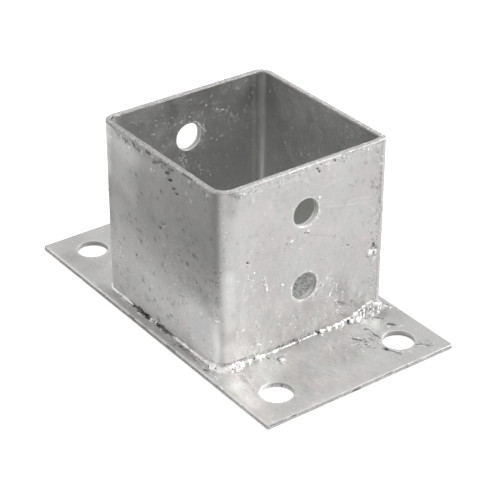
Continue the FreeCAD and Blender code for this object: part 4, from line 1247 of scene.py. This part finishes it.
def foot_line(stops):
    """Points along the sleeve's foot with their outward directions, from stops: (start, end, outward) for a straight
    and (centre, radius, first angle, last angle) for a bend. All in mm."""
    step = 0.2
    line = []
    for stop in stops:
        if len(stop) == 3:
            start, end, outward = (Vector(part) for part in stop)
            count = max(int((end - start).length / step), 1)
            line += [(start.lerp(end, k / count), outward) for k in range(count + 1)]
        else:
            centre, radius, first, last = stop
            count = max(int(abs(last - first) * radius / step), 3)
            for k in range(count + 1):
                turn = first + (last - first) * k / count
                outward = Vector((math.cos(turn), math.sin(turn)))
                line.append((Vector(centre) + outward * radius, outward))
    return line


def plan_drops(line, table, look):
    """The drops of a bead, each as a spot on the foot line, the outward direction, reach, rise and half length in mm.
    Their sizes follow the table and stray from it a little."""
    reaches, rises, lengths, steps = (0.92, 1.08), (0.84, 1.16), (0.9, 1.3), (0.85, 1.15)
    draw = random.Random(look.seed)
    spots = np.array([spot for spot, _ in line])
    run = np.concatenate([[0], np.cumsum(np.linalg.norm(np.diff(spots, axis=0), axis=1))])
    knots = [run[np.argmin(np.hypot(spots[:, 0] - row[0], spots[:, 1] - row[1]))] for row in table]
    outs, ups = [row[2] for row in table], [row[3] for row in table]
    drops = []
    station = knots[0]
    while station <= knots[-1]:
        out = float(np.interp(station, knots, outs)) * draw.uniform(*reaches)
        up = float(np.interp(station, knots, ups)) * draw.uniform(*rises)
        spot = Vector([float(np.interp(station, run, spots[:, k])) for k in (0, 1)])
        outward = line[int(np.searchsorted(run, station).clip(0, len(line) - 1))][1]
        drops.append((spot, outward, out, up, max(0.7 * out, 0.25 * up, 0.7) * draw.uniform(*lengths)))
        station += look.pitch / MM * min(max(out, 0.4), 1.0) * draw.uniform(*steps)
    return drops


def lay_bead(name, drops, look, sleeve_look):
    """A bead: one ball is copied for each drop, then all are fused and cut off where they enter the sheets."""
    bpy.ops.mesh.primitive_ico_sphere_add(subdivisions=3, radius=1)
    ball = start_piece("weld_drop")
    for spot, outward, out, up, long in drops:
        copy = ball.copy()
        copy.data = ball.data.copy()
        bpy.context.scene.collection.objects.link(copy)
        turn = Matrix.Rotation(math.atan2(outward.y, outward.x), 4, "Z")
        size = Matrix.Diagonal((out * MM, long * MM, up * MM, 1))
        copy.matrix_world = Matrix.Translation((spot.x * MM, spot.y * MM, PLATE_TOP)) @ turn @ size
        copy.select_set(True)
    ball.select_set(False)
    bpy.context.view_layer.objects.active = copy
    bpy.ops.object.join()
    bpy.data.objects.remove(ball)
    bead = start_piece(name)
    apply_modifier(bead, "REMESH", mode="VOXEL", voxel_size=look.voxel)
    apply_modifier(bead, "SMOOTH", factor=0.5, iterations=3)
    cut_away(bead, ground_block(look))
    cut_away(bead, sleeve_block(look, sleeve_look))
    close_up(bead)
    return bead


def ground_block(look):
    """The space of the plate under a bead, a little lower than its top so that the bead is rooted in it."""
    width, depth = 0.3, 20 * MM
    bpy.ops.mesh.primitive_cube_add(size=1, location=(0, 0, PLATE_TOP - look.sink - depth / 2))
    bpy.context.object.scale = (width, width, depth)
    return start_piece("ground_block")


def sleeve_block(look, sleeve_look):
    """The space inside the sleeve's outer faces, a little smaller so that a bead is rooted in them."""
    low, high = SLEEVE_LOW, SLEEVE_HIGH
    middle_x = (low.x + high.x) / 2
    bpy.ops.mesh.primitive_cube_add(size=1, location=(middle_x, 0, 0))
    bpy.context.object.scale = (high.x - low.x - 2 * look.sink, high.y - low.y - 2 * look.sink, 0.1)
    block = start_piece("sleeve_block")
    begin_edit(block)
    half = high.x - middle_x - look.sink
    beyond = 30 * MM
    for side_x, side_y, radius, _, _ in corners_of(sleeve_look):

        def at_corner(edge):
            on_wall = abs((middle(edge).x - middle_x) * side_x - half) < 10 * TINY
            return along(edge, Z) and on_wall and middle(edge).y * side_y > beyond

        round_off("EDGE", at_corner, radius - look.sink, segments=10)
    end_edit()
    return block


def dress_bead(bead, marks, nodes, zinc):
    """The fine lumps of a bead, painted shade in its hollows, and the dark marks given for it."""
    places = vertex_places(bead)
    skin = ramp(places[:, 2], PLATE_TOP, PLATE_TOP + 0.3 * MM)
    relief(bead, bead.name + "_lumps", skin, 0.3 * MM, grain=1.5 * MM, middle_level=0.5)
    # Painted shade: the deeper a vertex lies in a hollow, the darker its colour
    hollow_shade = hollows(bead, depth=0.16 * MM, rounds=8)
    keep_values(bead, grime=np.maximum(mark_field(vertex_places(bead), marks), 0.75 * hollow_shade))
    finish_piece(bead, nodes, zinc)


def make_front_weld(look, sleeve, zinc):
    """The bead round the +X end of the sleeve's foot."""
    x1, y0, y1 = SLEEVE_HIGH.x / MM, SLEEVE_LOW.y / MM, SLEEVE_HIGH.y / MM
    front, seam = sleeve.front_bend / MM, sleeve.seam_radius / MM
    line = foot_line(
        (
            ((10, y0), (x1 - front, y0), (0, -1)),
            ((x1 - front, y0 + front), front, -math.pi / 2, 0),
            ((x1, y0 + front), (x1, y1 - seam), (1, 0)),
            ((x1 - seam, y1 - seam), seam, 0, math.pi / 2),
            ((x1 - seam, y1), (10, y1), (0, 1)),
        )
    )
    drops = plan_drops(line, FRONT_BEAD, look)
    drops += [(Vector(spot), Vector(outward), *sizes) for spot, outward, *sizes in FRONT_DROPS]
    bead = lay_bead("front_weld_bead", drops, look, sleeve)
    dress_bead(bead, FRONT_BEAD_PITS_AND_SHADE, ["front_weld"], zinc)


def make_rear_weld(look, sleeve, zinc):
    """The bead round the -X end of the sleeve's foot."""
    x0, y0, y1 = SLEEVE_LOW.x / MM, SLEEVE_LOW.y / MM, SLEEVE_HIGH.y / MM
    bend = sleeve.rear_bend / MM
    line = foot_line(
        (
            ((-12, y0), (x0 + bend, y0), (0, -1)),
            ((x0 + bend, y0 + bend), bend, -math.pi / 2, -math.pi),
            ((x0, y0 + bend), (x0, y1 - bend), (-1, 0)),
            ((x0 + bend, y1 - bend), bend, math.pi, math.pi / 2),
            ((x0 + bend, y1), (-12, y1), (0, 1)),
        )
    )
    bead = lay_bead("rear_weld_bead", plan_drops(line, REAR_BEAD, look), look, sleeve)
    dress_bead(bead, (), ["rear_weld"], zinc)


# Stage


def white_to_the_eye(tree, plain, bright, glossy):
    """A strength that is plain for light, bright for what the camera sees and glossy for what the metal mirrors."""
    path = tree.nodes.new("ShaderNodeLightPath")
    value = None
    for name, top in (("Is Camera Ray", bright), ("Is Glossy Ray", glossy), ("Is Transmission Ray", glossy)):
        share = tree.nodes.new("ShaderNodeMapRange")
        share.inputs["To Min"].default_value = plain
        share.inputs["To Max"].default_value = top
        tree.links.new(path.outputs[name], share.inputs["Value"])
        if value is None:
            value = share.outputs["Result"]
        else:
            more = tree.nodes.new("ShaderNodeMath")
            more.operation = "MAXIMUM"
            tree.links.new(value, more.inputs[0])
            tree.links.new(share.outputs["Result"], more.inputs[1])
            value = more.outputs["Value"]
    return value


def make_floor(look):
    """A floor that keeps the object's shadow and looks white to the camera."""
    bpy.ops.mesh.primitive_plane_add(size=8, location=(0, 0, 0))
    floor = start_piece("floor")
    paint = bpy.data.materials.new("pale_floor")
    paint.use_nodes = True
    tree = paint.node_tree
    surface = tree.nodes["Principled BSDF"]
    surface.inputs["Base Color"].default_value = (*look.floor_colour, 1)
    surface.inputs["Roughness"].default_value = 0.9
    surface.inputs["Specular IOR Level"].default_value = 0.0
    glow = tree.nodes.new("ShaderNodeEmission")
    strength = white_to_the_eye(tree, plain=0.0, bright=0.75, glossy=0.15)
    tree.links.new(strength, glow.inputs["Strength"])
    both = tree.nodes.new("ShaderNodeAddShader")
    tree.links.new(surface.outputs["BSDF"], both.inputs[0])
    tree.links.new(glow.outputs["Emission"], both.inputs[1])
    tree.links.new(both.outputs["Shader"], tree.nodes["Material Output"].inputs["Surface"])
    floor.data.materials.append(paint)


def make_world(look):
    """Even light from all round, white to the camera."""
    world = bpy.data.worlds.new("even_light")
    bpy.context.scene.world = world
    world.use_nodes = True
    tree = world.node_tree
    background = tree.nodes["Background"]
    background.inputs["Color"].default_value = (1, 1, 1, 1)
    strength = white_to_the_eye(tree, plain=look.ambient, bright=1.0, glossy=1.0)
    tree.links.new(strength, background.inputs["Strength"])


def make_lamp(look):
    """One soft round lamp that looks at the object."""
    direction = Vector(look.lamp_direction).normalized()
    bpy.ops.object.light_add(type="AREA", location=direction * look.lamp_distance)
    lamp = bpy.context.object
    lamp.name = lamp.data.name = "soft_lamp"
    lamp.data.shape = "DISK"
    lamp.data.size = look.lamp_size
    lamp.data.energy = look.lamp_power
    lamp.rotation_euler = (-direction).to_track_quat("-Z", "Y").to_euler()


def make_camera(look):
    """The camera at the photo's place, angle and roll."""
    eye, aim = Vector(look.eye), Vector(look.aim)
    ahead = (aim - eye).normalized()
    right = ahead.cross(Z).normalized()
    up = right.cross(ahead)
    across = math.cos(look.roll) * right + math.sin(look.roll) * up
    upward = math.cos(look.roll) * up - math.sin(look.roll) * right
    bpy.ops.object.camera_add(location=eye)
    camera = bpy.context.object
    camera.name = camera.data.name = "photo_camera"
    camera.data.sensor_width = 36
    camera.data.lens = look.lens
    camera.matrix_world = Matrix.Translation(eye) @ Matrix((across, upward, -ahead)).transposed().to_4x4()
    bpy.context.scene.camera = camera


# Operators and panel


class POSTBASE_OT_plate(bpy.types.Operator):
    """Builds the flat sheet with its four anchor holes"""

    bl_idname = "postbase.plate"
    bl_label = "Build plate"

    def execute(self, context):
        scene = context.scene
        zinc = scene.postbase_zinc
        coat = zinc_sheet(
            "zinc_on_plate",
            zinc.plate_colour,
            zinc.sheet_roughness,
            zinc.grime_colour,
            hole_axis=Z,
            # The plate's bores are lightened past the plate's colour, as painted bounce light in the holes over the
            # real rings
            rings=(1.1, 1.95),
            gleam=1.7,
        )
        make_plate(scene.postbase_plate, scene.postbase_sleeve, coat)
        return {"FINISHED"}


class POSTBASE_OT_sleeve(bpy.types.Operator):
    """Builds the folded sleeve with its four bolt holes"""

    bl_idname = "postbase.sleeve"
    bl_label = "Build sleeve"

    def execute(self, context):
        scene = context.scene
        zinc = scene.postbase_zinc
        looks = (zinc.sleeve_colour, zinc.sheet_roughness, zinc.grime_colour)
        make_sleeve(scene.postbase_sleeve, zinc_sheet("zinc_on_sleeve", *looks, hole_axis=X))
        make_seam(scene.postbase_sleeve, zinc_sheet("zinc_on_seam", *looks, sand=0.6))
        return {"FINISHED"}


class POSTBASE_OT_welds(bpy.types.Operator):
    """Lays the two weld beads round the sleeve's foot"""

    bl_idname = "postbase.welds"
    bl_label = "Lay foot welds"

    def execute(self, context):
        scene = context.scene
        zinc = scene.postbase_zinc
        coat = zinc_bead("zinc_on_weld", zinc.weld_colour, zinc.weld_roughness, zinc.grime_colour)
        make_front_weld(scene.postbase_weld, scene.postbase_sleeve, coat)
        make_rear_weld(scene.postbase_weld, scene.postbase_sleeve, coat)
        return {"FINISHED"}


class POSTBASE_OT_stage(bpy.types.Operator):
    """Sets up the floor, the light and the camera"""

    bl_idname = "postbase.stage"
    bl_label = "Set stage"

    def execute(self, context):
        look = context.scene.postbase_stage
        make_floor(look)
        make_world(look)
        make_lamp(look)
        make_camera(look)
        context.scene.view_settings.view_transform = "Standard"
        return {"FINISHED"}


class POSTBASE_PT_panel(bpy.types.Panel):
    """Lists the steps and the sizes and colours that they use"""

    bl_idname = "POSTBASE_PT_panel"
    bl_label = "Post base"
    bl_space_type = "VIEW_3D"
    bl_region_type = "UI"
    bl_category = "Post base"

    def draw(self, context):
        for operator, settings in STEPS:
            box = self.layout.box()
            box.operator(operator)
            for name in settings:
                group = getattr(context.scene, name)
                for prop in group.bl_rna.properties:
                    if prop.identifier not in ("name", "rna_type"):
                        box.prop(group, prop.identifier)


STEPS = (
    ("postbase.plate", ("postbase_plate", "postbase_zinc")),
    ("postbase.sleeve", ("postbase_sleeve",)),
    ("postbase.welds", ("postbase_weld",)),
    ("postbase.stage", ("postbase_stage",)),
)
GROUPS = {
    "postbase_plate": PlateLook,
    "postbase_sleeve": SleeveLook,
    "postbase_weld": WeldLook,
    "postbase_zinc": ZincLook,
    "postbase_stage": StageLook,
}
CLASSES = (POSTBASE_OT_plate, POSTBASE_OT_sleeve, POSTBASE_OT_welds, POSTBASE_OT_stage, POSTBASE_PT_panel)


def register():
    for each in (*GROUPS.values(), *CLASSES):
        bpy.utils.register_class(each)
    for name, group in GROUPS.items():
        setattr(bpy.types.Scene, name, bpy.props.PointerProperty(type=group))


def unregister():
    for name in GROUPS:
        delattr(bpy.types.Scene, name)
    for each in (*reversed(CLASSES), *reversed(GROUPS.values())):
        bpy.utils.unregister_class(each)


def main():
    register()
    bpy.ops.postbase.plate()
    bpy.ops.postbase.sleeve()
    bpy.ops.postbase.welds()
    bpy.ops.postbase.stage()
    bpy.ops.object.select_all(action="DESELECT")


if __name__ == "__main__":
    main()
